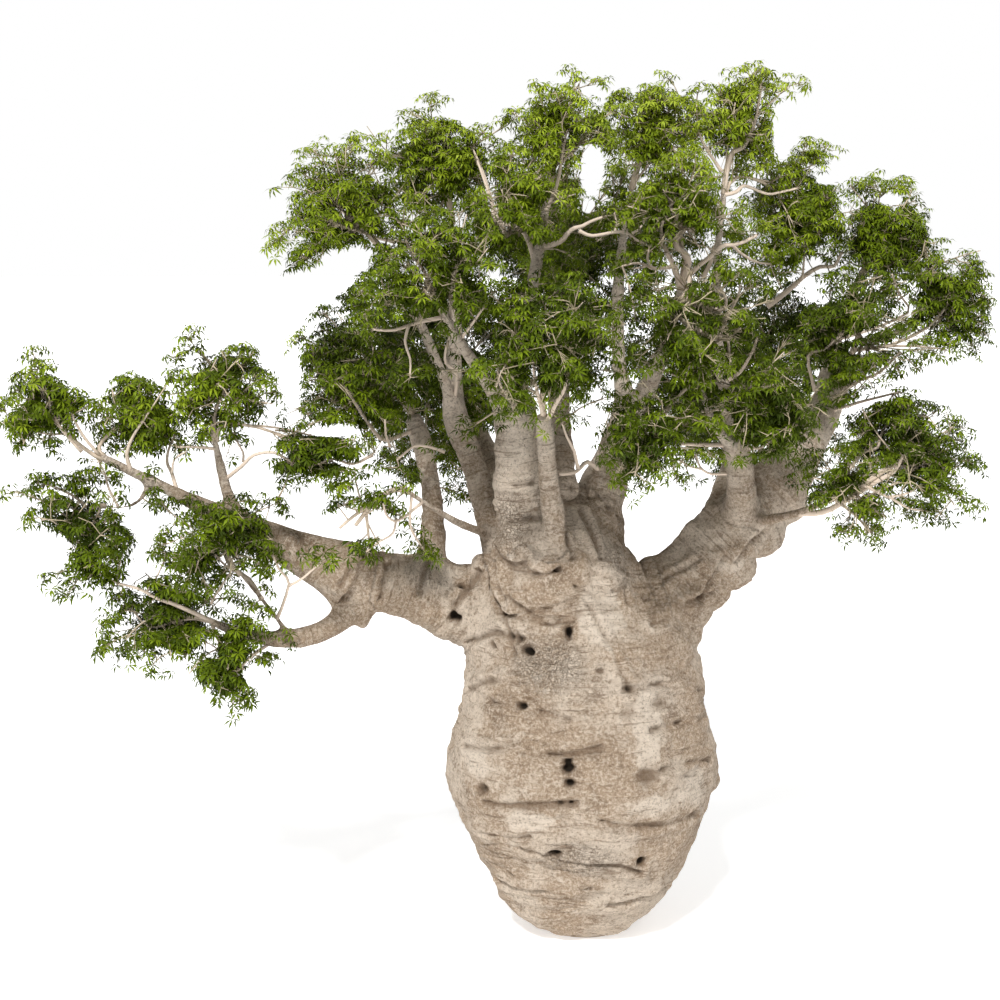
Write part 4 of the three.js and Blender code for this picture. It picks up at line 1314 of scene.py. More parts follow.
    def sink_pits(self, points: np.ndarray, fine: np.ndarray, height: np.ndarray, recess_shade: np.ndarray) -> None:
        """Sink the pits into the relief, each in a shallow funnel with a raised lip, and paint shade into each.

        Args:
            points: The skin's points.
            fine: A fine noise that makes the pits uneven.
            height: The height of the relief, which is changed.
            recess_shade: The painted shade in each recess, which is changed.
        """
        for pit in PITS:
            offset = points - np.array(pit.at)
            distance = np.sqrt((offset[:, 0] ** 2 + offset[:, 1] ** 2) / pit.size[0] ** 2
                               + offset[:, 2] ** 2 / pit.size[1] ** 2) * (1 + self.pit_uneven * fine)
            bowl = np.exp(-(distance**4))
            funnel = np.exp(-((distance / self.funnel_width) ** 2))
            lip = np.exp(-(((distance - self.lip_at) / self.lip_width) ** 2))
            height += self.lip_height * lip - pit.depth * (bowl + self.funnel_share * funnel)
            recess_shade += bowl * min(1.0, pit.depth / self.shade_depth) + self.funnel_shade * funnel

    def cut_creases(self, points: np.ndarray, warp: np.ndarray, height: np.ndarray, recess_shade: np.ndarray) -> None:
        """Cut the creases into the relief, with a swelling beside each groove and painted shade in it.

        Args:
            points: The skin's points.
            warp: A coarse noise that makes the creases wander.
            height: The height of the relief, which is changed.
            recess_shade: The painted shade in each recess, which is changed.
        """
        for crease in CREASES:
            distance = np.full(len(points), self.far)
            stops = [np.linalg.norm(points - stop, axis=1).argmin() for stop in np.array(crease)]
            line = points[stops]
            for a, b in zip(line, line[1:]):
                share = np.clip(((points - a) @ (b - a)) / ((b - a) @ (b - a)), 0, 1)
                distance = np.minimum(distance, np.linalg.norm(points - a - share[:, None] * (b - a), axis=1))
            distance = np.maximum(distance + self.crease_stray * warp, 0)
            groove = np.exp(-((distance / self.groove_width) ** 2))
            swelling = np.exp(-(((distance - self.swelling_at) / self.swelling_width) ** 2))
            height -= self.groove_depth * groove - self.swelling_height * swelling
            recess_shade += self.groove_shade * groove

    @staticmethod
    def patches(points: np.ndarray, patches: tuple[Patch, ...]) -> np.ndarray:
        """Work out how far each point lies in one of the patches.

        Args:
            points: The points.
            patches: The patches.

        Returns:
            A share from 0 to 1 for each point.
        """
        share = np.zeros(len(points))
        for patch in patches:
            reach = np.linalg.norm((points - np.array(patch.at)) / np.array(patch.half), axis=1)
            share = np.maximum(share, np.clip(2 * (1 - reach), 0, 1))
        return share

    def build(self) -> None:
        """Build the bark and divide it into its pieces."""
        skin = self.skin()
        points, normals = self.arrays(skin)
        off, _, run = self.survey(points)
        height, recess_shade, marks = self.relief(points, off, run)
        skin.vertices.foreach_set("co", (points + normals * height[:, None]).ravel())
        for name, rows in (("bark_run", run), ("bark_marks", marks)):
            skin.attributes.new(name, "FLOAT_VECTOR", "POINT").data.foreach_set(
                "vector", rows.astype(np.float32).ravel())
        # The painted shade in the recesses goes to the material as an attribute.
        skin.attributes.new("bark_recess_shade", "FLOAT", "POINT").data.foreach_set("value", recess_shade.astype(np.float32))
        material = self.finish.material()
        parts = [WoodPart.TRUNK, *(limb.part() for limb in self.limbs.values())]
        numbers = {part: index for index, part in enumerate(WoodPart)}
        part_of = np.array([numbers[part] for part in parts])[off.argmin(axis=0)]
        for part in WoodPart:
            self.divide(skin, part, part_of == numbers[part], material)
        bpy.data.meshes.remove(skin)

    def divide(self, skin: bpy.types.Mesh, part: WoodPart, own: np.ndarray,
               material: bpy.types.Material) -> None:
        """Cut one piece out of the skin and close it where it meets the others.

        Args:
            skin: The whole skin.
            part: The piece.
            own: True for each point that belongs to it.
            material: The bark.
        """
        body = bmesh.new()
        body.from_mesh(skin)
        body.verts.ensure_lookup_table()
        others = [f for f in body.faces if not own[f.verts[0].index]]
        bmesh.ops.delete(body, geom=others, context="FACES")
        rim = [e for e in body.edges if len(e.link_faces) == 1]
        for edge in rim:
            edge.smooth = False
        bmesh.ops.holes_fill(body, edges=rim, sides=0)
        mesh = bpy.data.meshes.new(part.value)
        body.to_mesh(mesh)
        body.free()
        mesh.materials.append(material)
        nodes = ["trunk"] if part is WoodPart.TRUNK else [
            limb.plan.name for limb in self.limbs.values() if limb.part() is part]
        link(f"{part.value}_bark", mesh, nodes)


class Grade(Enum):
    """How finely a kind of twig is made: the sides round it and the rings along it."""

    STEM = (6, 7)
    BRANCHLET = (4, 5)
    SHOOT = (3, 3)
    STALK = (3, 2)


def tubes(middle: np.ndarray, radius: np.ndarray, sides: int) -> tuple[np.ndarray, np.ndarray]:
    """Make closed tubes along rows of points.

    Args:
        middle: The points that each tube follows, a row of rings for each tube.
        radius: The radius at each of them.
        sides: The sides round each tube.

    Returns:
        The tubes' points and triangles.
    """
    count, rings = radius.shape
    along = np.gradient(middle, axis=1)
    along /= np.linalg.norm(along, axis=2, keepdims=True) + TINY
    apart = np.eye(3)[np.abs(along).max(axis=1).argmin(axis=1)][:, None]
    side = np.cross(along, np.broadcast_to(apart, along.shape))
    side /= np.linalg.norm(side, axis=2, keepdims=True) + TINY
    across = np.cross(along, side)
    angles = np.arange(sides) * 2 * math.pi / sides
    wheel = side[:, :, None] * np.cos(angles)[:, None] + across[:, :, None] * np.sin(angles)[:, None]
    points = middle[:, :, None] + wheel * radius[:, :, None, None]
    pattern = []
    for ring in range(rings - 1):
        for i in range(sides):
            a, b = ring * sides + i, ring * sides + (i + 1) % sides
            pattern += [(a, b, b + sides), (a, b + sides, a + sides)]
    top = (rings - 1) * sides
    for i in range(1, sides - 1):
        pattern += [(0, i + 1, i), (top, top + i, top + i + 1)]
    faces = np.array(pattern)[None] + (np.arange(count) * rings * sides)[:, None, None]
    return points.reshape(-1, 3), faces.reshape(-1, 3)


def spikes(start: np.ndarray, end: np.ndarray, radius: np.ndarray) -> tuple[np.ndarray, np.ndarray]:
    """Make leaf stalks, three-sided spikes that end in a point.

    Args:
        start: Where each one starts.
        end: Where each one ends.
        radius: Its radius at the start.

    Returns:
        The spikes' points and triangles.
    """
    along = end - start
    along /= np.linalg.norm(along, axis=1, keepdims=True) + TINY
    side = np.cross(along, np.eye(3)[np.abs(along).argmin(axis=1)])
    side /= np.linalg.norm(side, axis=1, keepdims=True)
    across = np.cross(along, side)
    angles = np.arange(3) * 2 * math.pi / 3
    wheel = side[:, None] * np.cos(angles)[:, None] + across[:, None] * np.sin(angles)[:, None]
    points = np.concatenate([start[:, None] + wheel * radius[:, None, None], end[:, None]], axis=1)
    pattern = np.array([(0, 2, 1), (0, 1, 3), (1, 2, 3), (2, 0, 3)])
    faces = pattern[None] + (np.arange(len(start)) * 4)[:, None, None]
    return points.reshape(-1, 3), faces.reshape(-1, 3)


@dataclass
class TwigBank:
    """Stems, twigs and leaf stalks, kept as curves until they are made into one mesh."""

    tones: tuple[PlainFinish, ...] = TWIG_TONES
    branch_sides: int = 7
    curves: dict[Grade, list[tuple[Bend, float, float]]] = field(
        default_factory=lambda: {grade: [] for grade in Grade})
    branches: list[tuple[np.ndarray, np.ndarray]] = field(default_factory=list)

    def add(self, bend: Bend, thick: float, thin: float, grade: Grade) -> None:
        """Keep a twig on a curve, with its radius at both ends and its grade."""
        self.curves[grade].append((bend, thick, thin))

    def mesh(self, name: str) -> bpy.types.Mesh:
        """Make all the twigs as closed tubes in one mesh.

        Args:
            name: The mesh's name.

        Returns:
            The mesh with its tones.
        """
        made = []
        for grade, curves in self.curves.items():
            if not curves:
                continue
            if grade is Grade.STALK:
                start, end = (np.array([getattr(c[0], p) for c in curves]) for p in ("start", "end"))
                made.append((*spikes(start, end, np.array([c[1] for c in curves])), 2))
                continue
            sides, rings = grade.value
            start, control, end = (np.array([getattr(c[0], p) for c in curves])[:, None]
                                   for p in ("start", "control", "end"))
            t = np.linspace(0, 1, rings)[None, :, None]
            middle = start * (1 - t) ** 2 + control * 2 * t * (1 - t) + end * t * t
            thick, thin = (np.array([c[i] for c in curves])[:, None] for i in (1, 2))
            points, faces = tubes(middle, thick + (thin - thick) * t[:, :, 0], sides)
            made.append((points, faces, 1 if grade in (Grade.STEM, Grade.BRANCHLET) else 2))
        for line, radius in self.branches:
            made.append((*tubes(line[None], radius[None], self.branch_sides), 0))
        firsts = np.cumsum([0, *(len(points) for points, _, _ in made)])
        faces = np.concatenate([faces + first for (_, faces, _), first in zip(made, firsts)])
        mesh = mesh_from_arrays(name, np.concatenate([points for points, _, _ in made]), faces)
        tone = np.concatenate([np.full(len(faces), number) for _, faces, number in made])
        mesh.polygons.foreach_set("material_index", tone.astype(np.int32))
        return mesh


@dataclass
class Outlook:
    """The crown as the photograph frames it: which leaves would hide a bare branch or the sky."""

    side: int = FRAME_SIDE
    zoom: float = 1750.0
    sky: float = 99.0
    clear_to: np.ndarray = field(default_factory=lambda: np.zeros((FRAME_SIDE, FRAME_SIDE)))

    def frame(self, points: np.ndarray) -> tuple[np.ndarray, np.ndarray, np.ndarray]:
        """Find where points show in the frame.

        Args:
            points: The points.

        Returns:
            Their places across and down the frame, and their depths.
        """
        down = math.radians(90 - CAMERA_TILT)
        offset = points - np.array(CAMERA_AT)
        depth = offset[..., 1] * math.cos(down) - offset[..., 2] * math.sin(down)
        rise = offset[..., 1] * math.sin(down) + offset[..., 2] * math.cos(down)
        middle = self.side / 2
        return middle + self.zoom * offset[..., 0] / depth, middle - self.zoom * rise / depth, depth

    def place(self, across: float, down: float, back: float) -> Vector:
        """Find the point that shows at a place in the frame.

        Args:
            across: The place's pixels from the left.
            down: Its pixels from the top.
            back: The point's y.

        Returns:
            The point.
        """
        turn = math.radians(90 - CAMERA_TILT)
        right, fall = (across - self.side / 2) / self.zoom, (down - self.side / 2) / self.zoom
        ahead = Vector((right, math.cos(turn) - fall * math.sin(turn), -math.sin(turn) - fall * math.cos(turn)))
        return Vector(CAMERA_AT) + ahead * ((back - CAMERA_AT[1]) / ahead.y)

    def uncover(self, across: float, down: float, half: tuple[float, float], depth: float) -> None:
        """Keep an oval of the frame clear of leaves.

        Args:
            across: Its middle's pixels from the left.
            down: Its middle's pixels from the top.
            half: Its half width and half height.
            depth: How far back it is clear.
        """
        left, top = max(0, int(across - half[0])), max(0, int(down - half[1]))
        right, foot = int(across + half[0]) + 2, int(down + half[1]) + 2
        rows, columns = np.mgrid[top:min(foot, self.side), left:min(right, self.side)]
        within = ((columns - across) / half[0]) ** 2 + ((rows - down) / half[1]) ** 2 < 1
        part = self.clear_to[top:foot, left:right]
        part[within] = np.maximum(part[within], depth)

    def bare(self, line: np.ndarray, radius: np.ndarray, margin: float = 1.6) -> None:
        """Keep the leaves off the front of a branch.

        Args:
            line: The points along it.
            radius: Its radius at each.
            margin: The pixels that are kept clear beside it.
        """
        across, down, depth = self.frame(line)
        for i in range(len(line) - 1):
            for t in np.linspace(0, 1, 8):
                size = (radius[i] * (1 - t) + radius[i + 1] * t) * self.zoom / depth[i] + margin
                self.uncover(across[i] * (1 - t) + across[i + 1] * t, down[i] * (1 - t) + down[i + 1] * t,
                             (size, size), depth[i])

    def hides(self, points: np.ndarray) -> np.ndarray:
        """True for each point in front of something that shows bare."""
        return self.frame(points)[2] < self.clear_at(points)

    def crosses_gap(self, bend: Bend) -> bool:
        """True if a twig runs across one of the ways through the leaves."""
        line = np.array([bend.point(t) for t in (0.35, 0.6, 0.8, 1.0)])
        return bool((self.clear_at(line) >= self.sky).any())

    def clear_at(self, points: np.ndarray) -> np.ndarray:
        """How far back the frame is clear where each point shows."""
        across, down = (np.clip(pixels, 0, self.side - 1).astype(int) for pixels in self.frame(points)[:2])
        return self.clear_to[down, across]


@dataclass
class LeafBank:
    """Rosettes of drooping leaflets, kept as places until they are made into one mesh."""

    outlook: Outlook
    leaflets: int = 8
    length: float = 0.101
    width: float = 0.0225
    turn_stray: float = 0.25
    foot_droop: tuple[float, float] = (-0.2, 0.5)
    tip_droop: tuple[float, float] = (0.4, 0.95)
    long_span: tuple[float, float] = (0.8, 1.15)
    wide_span: tuple[float, float] = (0.85, 1.15)
    bare_share: float = 0.06
    rib_share: float = 0.46
    tip_share: float = 0.54
    left_in_front: float = 0.07
    tones: tuple[PlainFinish, ...] = LEAF_TONES
    rosettes: list[tuple[Vector, Vector, float, float, int]] = field(default_factory=list)

    def add(self, centre: Vector, axis: Vector, turn: float, size: float, tone: int) -> None:
        """Keep a rosette at a place, with the way it faces, its turn, its size and its tone."""
        self.rosettes.append((centre, axis, turn, size, tone))

    def mesh(self, name: str, seed: int) -> bpy.types.Mesh:
        """Make all the leaflets in one mesh, each bent down at its tip.

        Args:
            name: The mesh's name.
            seed: The seed of the small differences between leaflets.

        Returns:
            The mesh with its tones.
        """
        random = np.random.default_rng(seed)
        count = len(self.rosettes)
        centre, axis = (np.array([r[i] for r in self.rosettes])[:, None] for i in (0, 1))
        turn, size = (np.array([r[i] for r in self.rosettes])[:, None] for i in (2, 3))
        shape = (count, self.leaflets)
        least = np.eye(3)[np.argmin(np.abs(axis[:, 0]), axis=1)][:, None]
        east = np.cross(axis, least)
        east /= np.linalg.norm(east, axis=2, keepdims=True)
        north = np.cross(axis, east)
        angle = turn + np.arange(self.leaflets) * 2 * math.pi / self.leaflets
        angle = (angle + random.uniform(-self.turn_stray, self.turn_stray, shape))[:, :, None]
        out = east * np.cos(angle) + north * np.sin(angle)
        side = np.cross(np.broadcast_to(axis, out.shape), out)
        first = random.uniform(*self.foot_droop, shape)[:, :, None]
        second = first + random.uniform(*self.tip_droop, shape)[:, :, None]
        long = (self.length * size * random.uniform(*self.long_span, shape))[:, :, None]
        wide = (self.width * size * random.uniform(*self.wide_span, shape))[:, :, None]
        toward = out * np.cos(first) - axis * np.sin(first)
        droop = out * np.cos(second) - axis * np.sin(second)
        root = centre + toward * self.bare_share * long
        middle = root + toward * self.rib_share * long
        left, right = middle + side * wide / 2, middle - side * wide / 2
        tip = middle + droop * self.tip_share * long
        shown = ~self.outlook.hides(middle) | (random.uniform(0, 1, shape) < self.left_in_front)
        points = np.stack([root, right, left, tip], axis=2)[shown]
        pattern = np.array([(0, 1, 2), (2, 1, 3)])
        faces = pattern[None] + (np.arange(len(points)) * 4)[:, None, None]
        mesh = mesh_from_arrays(name, points.reshape(-1, 3), faces.reshape(-1, 3))
        tones = np.broadcast_to(np.array([r[4] for r in self.rosettes])[:, None], shape)[shown]
        mesh.polygons.foreach_set("material_index", np.repeat(tones, len(pattern)).astype(np.int32))
        mesh.shade_flat()
        return mesh


@dataclass
class Mass:
    """A mass of foliage that keeps to its own space."""

    plan: MassPlan
    heart: Vector
    walls: list[tuple[Vector, float]] = field(default_factory=list)
    stems: list[Bend] = field(default_factory=list)
    apart: float = 0.004
    proud: float = 0.07

    def edge(self, direction: Vector) -> float:
        """The distance from the middle to the edge of the full shape in a direction."""
        across = (direction.x**2 + direction.y**2) / self.plan.wide**2
        return 1 / math.sqrt(across + direction.z**2 / self.plan.tall**2)

    def wall_off(self, masses: list["Mass"]) -> None:
        """Set the flat faces that part this mass from the others and keep it in the solids' box.

        Args:
            masses: All the masses.
        """
        for other in masses:
            if other is self:
                continue
            normal = other.heart - self.heart
            apart = normal.length
            normal /= apart
            own, theirs = self.edge(normal), other.edge(normal)
            self.walls.append((normal, apart * own / (own + theirs) - self.apart))
        for axis in range(3):
            for side, corner in ((-1, cad_box[0]), (1, cad_box[1])):
                normal = Vector([side if i == axis else 0 for i in range(3)])
                self.walls.append((normal, side * (corner[axis] - self.heart[axis]) + self.proud))

    def holds(self, point: Vector) -> bool:
        """True if a point lies on this side of every wall."""
        offset = point - self.heart
        return all(offset.dot(normal) < reach for normal, reach in self.walls)

    def past_walls(self, point: Vector) -> float:
        """How far a point lies beyond the walls, or less than nought within them."""
        offset = point - self.heart
        return max(offset.dot(normal) - reach for normal, reach in self.walls)

    def rim(self, direction: Vector, share: float, short: float = 0.0) -> Vector:
        """Find a point towards the edge.

        Args:
            direction: Which way it lies from the middle.
            share: The share of the way to the edge.
            short: How far short of that it lies.

        Returns:
            The point.
        """
        reach = self.edge(direction)
        for normal, limit in self.walls:
            slope = direction.dot(normal)
            if slope > 0.01:
                reach = min(reach, limit / slope)
        return self.heart + direction * max(0.05, reach * share - short)


@dataclass
class Twig:
    """A twig that bears sprays, with the count of those that it bears."""

    start: Vector
    end: Vector
    taken: int = 0


@dataclass
class Growth:
    """What fine growth is made with: its mass, its numbers, and where its wood and leaves go.

    whole says whether it is grown across the mass's gaps too.
    """

    mass: Mass
    random: Seeded
    twigs: TwigBank
    leaves: LeafBank
    whole: bool = False
    elbow: float = 0.4

    def vary(self, least: float, span: float) -> float:
        """A number that is drawn from a span above the least."""
        return least + span * self.random.draw()

    def crooked(self, start: Vector, end: Vector) -> Bend:
        """Lay a branchlet with an elbow in it.

        Args:
            start: Its first point.
            end: Its last point.

        Returns:
            Its curve.
        """
        draw = self.random.draw
        elbow = Vector((draw() - 0.5, draw() - 0.5, draw() - 0.3))
        return Bend(start, (start + end) / 2 + elbow * self.elbow * (end - start).length, end)


@dataclass
class Crown:
    """The masses of foliage, grown from the limbs' tips by the solids' own rule.

    A pair that ends in span is the least and the span that a number is drawn from. A pair of
    radii stands for a twig's foot and its tip.
    """

    limbs: dict[str, Limb]
    outlook: Outlook = field(default_factory=Outlook)
    bough_line: np.ndarray = field(default_factory=lambda: np.zeros((0, 3)))
    bough_radius: np.ndarray = field(default_factory=lambda: np.zeros(0))
    held: list[Vector] = field(default_factory=list)
    bough_step: float = 0.1
    bearing_radius: float = 0.16
    stem_radius: float = 0.042
    stem_bare: float = 0.6
    stem_end: float = 0.96
    twig_reach: float = 0.35
    root_from: float = 0.3
    root_span: float = 0.68
    pair_apart: float = 0.48
    pair_share: float = 0.5
    lone_share: float = 0.9
    stem_bend: float = 0.35
    stem_taper: float = 0.5
    stem_foot: float = 0.05
    twig_rise: float = 0.08
    twig_shares: tuple[float, float] = (0.55, 0.35)
    rim_span: tuple[float, float] = (0.9, 0.1)
    spray_span: tuple[float, float] = (0.5, 0.72)
    spray_noise: float = 0.22
    spray_scale: float = 1.7
    spray_most: float = 1.12
    spray_size: float = 1.02
    hidden_from: float = 0.7
    branchlet_least: float = 0.007
    branchlet_growth: float = 0.008
    branchlet_most: float = 0.013
    branchlet_end: float = 0.006
    fork_radii: tuple[float, float] = (0.0085, 0.0055)
    fork_stray: float = 0.9
    fork_from_span: tuple[float, float] = (0.5, 0.45)
    fork_side_span: tuple[float, float] = (0.35, 0.6)
    fork_out_span: tuple[float, float] = (-0.4, 0.55)
    shoot_radii: tuple[float, float] = (0.0065, 0.003)
    shoot_from_span: tuple[float, float] = (0.45, 0.5)
    shoot_stray: float = 0.9
    shoot_sag: float = 0.06
    stalk_radii: tuple[float, float] = (0.003, 0.002)
    stalk_up: float = 0.4
    stalk_span: tuple[float, float] = (0.07, 0.07)
    fans: float = 6.4
    fan_area: float = 0.30
    fan_size: float = 0.18
    fan_span: tuple[float, float] = (0.8, 0.45)
    fan_shoots: int = 7
    fan_out: float = 0.55
    fan_up: float = 0.8
    fan_top: float = 0.07
    fan_fall: float = 0.13
    fan_rough: float = 0.09
    left_share: float = 0.7
    left_size: float = 1.16
    rosettes: int = 2
    rosette_up: float = 0.9
    rosette_out: float = 0.4
    rosette_side: float = 0.5
    rosette_least: float = 0.2
    rosette_step: float = 0.45
    rosette_span: tuple[float, float] = (0.85, 0.3)
    # The leaves' tones paint light and shade: lighter high up, at the top of a spray and on the outside of a
    # mass, darker deep within it, with a random tone besides.
    tone_first: float = 1.6
    tone_above: float = 1.3
    tone_below: float = 0.1
    tone_lift: float = 6
    tone_depth: float = 1.6
    tone_noise: float = 1.1
    tone_scale: float = 1.3
    tone_stray: float = 2.6
    left_from: float = -3.3
    left_middle: float = 5.6
    middle: float = 7.4
    gap_scale: float = 3.3
    gap_from: float = -0.12
    gap_shift: tuple[float, float, float] = (3.1, 7.7, 1.3)
    leaf_room: float = 0.05
    spare: float = 0.05
    branch_seed: int = 104729
    fine_seed: int = 7919
    branch_spray: float = 0.17
    branch_steps: int = 3
    branch_noise: float = 9
    branch_stray: float = 0.006
    branch_foot: float = 1.25

    def lay_stem(self, mass: Mass, masses: list[Mass]) -> tuple[Bend, float]:
        """Lay the stem of a mass from its limb's tip to its middle.

        Args:
            mass: The mass.
            masses: All the masses, among them a second one on the same tip.

        Returns:
            The stem and its radius.
        """
        limb = self.limbs[mass.plan.bearer]
        ahead = limb.bend.tangent(1)
        tip_radius = limb.radius(1)
        pair = [other for other in masses if other.plan.bearer == mass.plan.bearer]
        start = limb.bend.point(1)
        if len(pair) > 1:
            apart = pair[0].heart - pair[1].heart
            apart = (apart - ahead * apart.dot(ahead)).normalized()
            start = start + apart * (tip_radius * self.pair_apart * (1 if mass is pair[0] else -1))
        thick = min(self.stem_radius, tip_radius * (self.pair_share if len(pair) > 1 else self.lone_share))
        control = start + ahead * (mass.heart - start).length * self.stem_bend
        return Bend(start - ahead * self.stem_foot, control, mass.heart), thick

    def grow(self, growth: Growth, number: int, stem: Bend, thick: float) -> None:
        """Grow a mass: its stem, its twigs and its sprays.

        Args:
            growth: What it is made with.
            number: The mass's number in the solids' order, which is its seed.
            stem: Its stem.
            thick: The stem's radius.
        """
        mass, plan = growth.mass, growth.mass.plan
        coarse = Seeded(number)
        growth.twigs.add(stem, thick, thick * self.stem_taper, Grade.STEM)
        bearers = [Twig(stem.point(self.stem_bare), mass.heart)]
        directions = coarse.spread(plan.twigs)
        for i, direction in enumerate(directions):
            share = self.stem_bare + (self.stem_end - self.stem_bare) * i / len(directions)
            start = stem.point(share)
            end = mass.rim(direction, self.twig_reach)
            middle = (start + end) / 2
            middle.z += self.twig_rise * (end - start).length
            if mass.holds(end):
                foot, top = (thick * share for share in self.twig_shares)
                growth.twigs.add(Bend(start, middle, end), foot, top, Grade.STEM)
                bearers.append(Twig(start, end))
        reach = (plan.wide * 2 + plan.tall) / 3
        size = reach * 2 / math.sqrt(plan.sprays) * self.spray_size
        fans = self.fans * plan.fullness * (self.left_share if plan.region in LEFT_REGIONS else 1)
        count = max(3, round(fans * math.pi * size**2 / self.fan_area))
        for direction in coarse.spread(plan.sprays):
            tip = mass.rim(direction, self.rim_span[0] + self.rim_span[1] * coarse.draw())
            coarse.draw()
            nearest = min(bearers, key=lambda twig: (twig.end - tip).length)
            nearest.taken += 1
            share = self.root_from + self.root_span * ((nearest.taken * GOLDEN_SHARE) % 1)
            root = nearest.start.lerp(nearest.end, share)
            uneven = growth.vary(*self.spray_span) + self.spray_noise * noise.noise(tip * self.spray_scale)
            uneven = min(self.spray_most, uneven)
            self.spray(growth, root, mass.rim(direction, uneven, self.spare), size, count)

    def spray(self, growth: Growth, root: Vector, end: Vector, size: float, count: int) -> None:
        """Grow one spray: a branchlet that forks, with a fan of shoots on each of its ends.

        Args:
            growth: What it is made with.
            root: Where the branchlet leaves its twig.
            end: Where the branchlet ends.
            size: How far the spray reaches to its sides.
            count: How many fans there are.
        """
        draw = growth.random.draw
        branchlet = growth.crooked(root, end)
        hidden = bool(self.outlook.hides(np.array([branchlet.point(self.hidden_from), end])).any())
        leafy = False
        outward = (end - growth.mass.heart).normalized()
        side = outward.orthogonal().normalized()
        turn = draw() * 2 * math.pi
        for i in range(count):
            if i == 0 and count < 3:
                tip = end
            else:
                lean = Quaternion(outward, turn + 2 * math.pi * i / count + self.fork_stray * draw()) @ side
                tip = end + lean * size * growth.vary(*self.fork_side_span)
                tip += outward * growth.vary(*self.fork_out_span)
            if not growth.mass.holds(tip):
                continue
            fork = growth.crooked(root if hidden else branchlet.point(growth.vary(*self.fork_from_span)), tip)
            if not self.outlook.crosses_gap(fork) and self.fan(growth, fork):
                growth.twigs.add(fork, *self.fork_radii, Grade.SHOOT)
                leafy = True
        if leafy and not hidden:
            thick = min(self.branchlet_most, self.branchlet_least + self.branchlet_growth * (end - root).length)
            growth.twigs.add(branchlet, thick, self.branchlet_end, Grade.BRANCHLET)

    def fan(self, growth: Growth, fork: Bend) -> bool:
        """Grow a fan of leafy shoots over the end of a fork.

        Args:
            growth: What it is made with.
            fork: The fork.

        Returns:
            True if it bears any leaves.
        """
        draw = growth.random.draw
        leafy = False
        outward = (fork.end - growth.mass.heart).normalized()
        axis = (outward * self.fan_out + Vector((0, 0, self.fan_up))).normalized()
        side = axis.orthogonal().normalized()
        turn = draw() * 2 * math.pi
        size = self.fan_size * growth.vary(*self.fan_span)
        for i in range(self.fan_shoots):
            off = size * math.sqrt((i + 0.3) / self.fan_shoots)
            lean = Quaternion(axis, turn + GOLDEN_ANGLE * i + (draw() - 0.5) * self.shoot_stray) @ side
            lift = self.fan_top - self.fan_fall * (off / size) ** 2 + self.fan_rough * (draw() - 0.5)
            target = fork.end + lean * off + axis * lift
            if not growth.mass.holds(target) or self.outlook.hides(np.array([target]))[0]:
                continue
            if not growth.whole and self.gap_at(target):
                continue
            start = fork.point(growth.vary(*self.shoot_from_span))
            sag = Vector((0, 0, self.shoot_sag * (target - start).length))
            shoot = Bend(start, (start + target) / 2 - sag, target)
            if self.dress(growth, shoot, lift):
                growth.twigs.add(shoot, *self.shoot_radii, Grade.STALK)
                leafy = True
        return leafy

    def dress(self, growth: Growth, shoot: Bend, lift: float) -> bool:
        """Set rosettes on a shoot, each on a stalk of its own.

        Args:
            growth: What they are made with.
            shoot: The shoot.
            lift: How high the shoot's end stands in its spray.

        Returns:
            True if it bears any leaves.
        """
        draw = growth.random.draw
        outward = (shoot.end - growth.mass.heart).normalized()
        # The tone paints light and shade onto the rosette's leaves.
        light = self.painted_light_on(growth.mass, shoot.end, lift)
        grown = self.left_size if growth.mass.plan.region in LEFT_REGIONS else 1
        leafy = False
        for i in range(self.rosettes):
            root = shoot.point(1 - self.rosette_step * i / self.rosettes)
            angle = GOLDEN_ANGLE * i + draw() * FULL_TURN
            sideways = Quaternion(outward, angle) @ outward.orthogonal().normalized()
            off = 0.0 if i == 0 else growth.vary(*self.stalk_span)
            centre = root + (sideways + Vector((0, 0, self.stalk_up))).normalized() * off
            if not growth.mass.holds(centre) or not self.clear(centre):
                continue
            if self.outlook.hides(np.array([centre]))[0]:
                continue
            axis = (Vector((0, 0, self.rosette_up)) + outward * self.rosette_out
                    + sideways * self.rosette_side * (draw() + self.rosette_least))
            size = growth.vary(*self.rosette_span) * grown
            tone = int(min(len(LEAF_TONES) - 1, max(0, round(light + self.tone_stray * (draw() - 0.5)))))
            growth.leaves.add(centre, axis.normalized(), draw() * FULL_TURN, size, tone)
            leafy = True
            if i > 0:
                growth.twigs.add(Bend(root, (root + centre) / 2, centre), *self.stalk_radii, Grade.STALK)
        return leafy

    def painted_light_on(self, mass: Mass, point: Vector, lift: float) -> float:
        """How lit leaves are painted, as a tone's number: painted light high up, at the top of a spray and on
        the outside, painted shade within, with a random tone besides.

        Args:
            mass: Their mass.
            point: Where they are.
            lift: How high they stand in their spray.

        Returns:
            The number of the tone before it is rounded.
        """
        offset = point - mass.heart
        depth = 1 - min(1.0, offset.length / mass.edge(offset.normalized()))
        high = point.z - (self.left_middle if point.x < self.left_from else self.middle)
        steep = self.tone_above if high > 0 else self.tone_below
        return (self.tone_first + steep * abs(high) + self.tone_lift * lift - self.tone_depth * depth
                + self.tone_noise * noise.noise(point * self.tone_scale))

    def clear(self, point: Vector) -> bool:
        """True if leaves at a point stand clear of the boughs."""
        distance = np.linalg.norm(self.bough_line - np.array(point), axis=1) - self.bough_radius
        return bool(distance.min() > self.leaf_room)

    def gap_at(self, point: Vector) -> bool:
        """True if a point lies in one of the gaps that break the masses up."""
        return noise.noise(point * self.gap_scale + Vector(self.gap_shift)) < self.gap_from

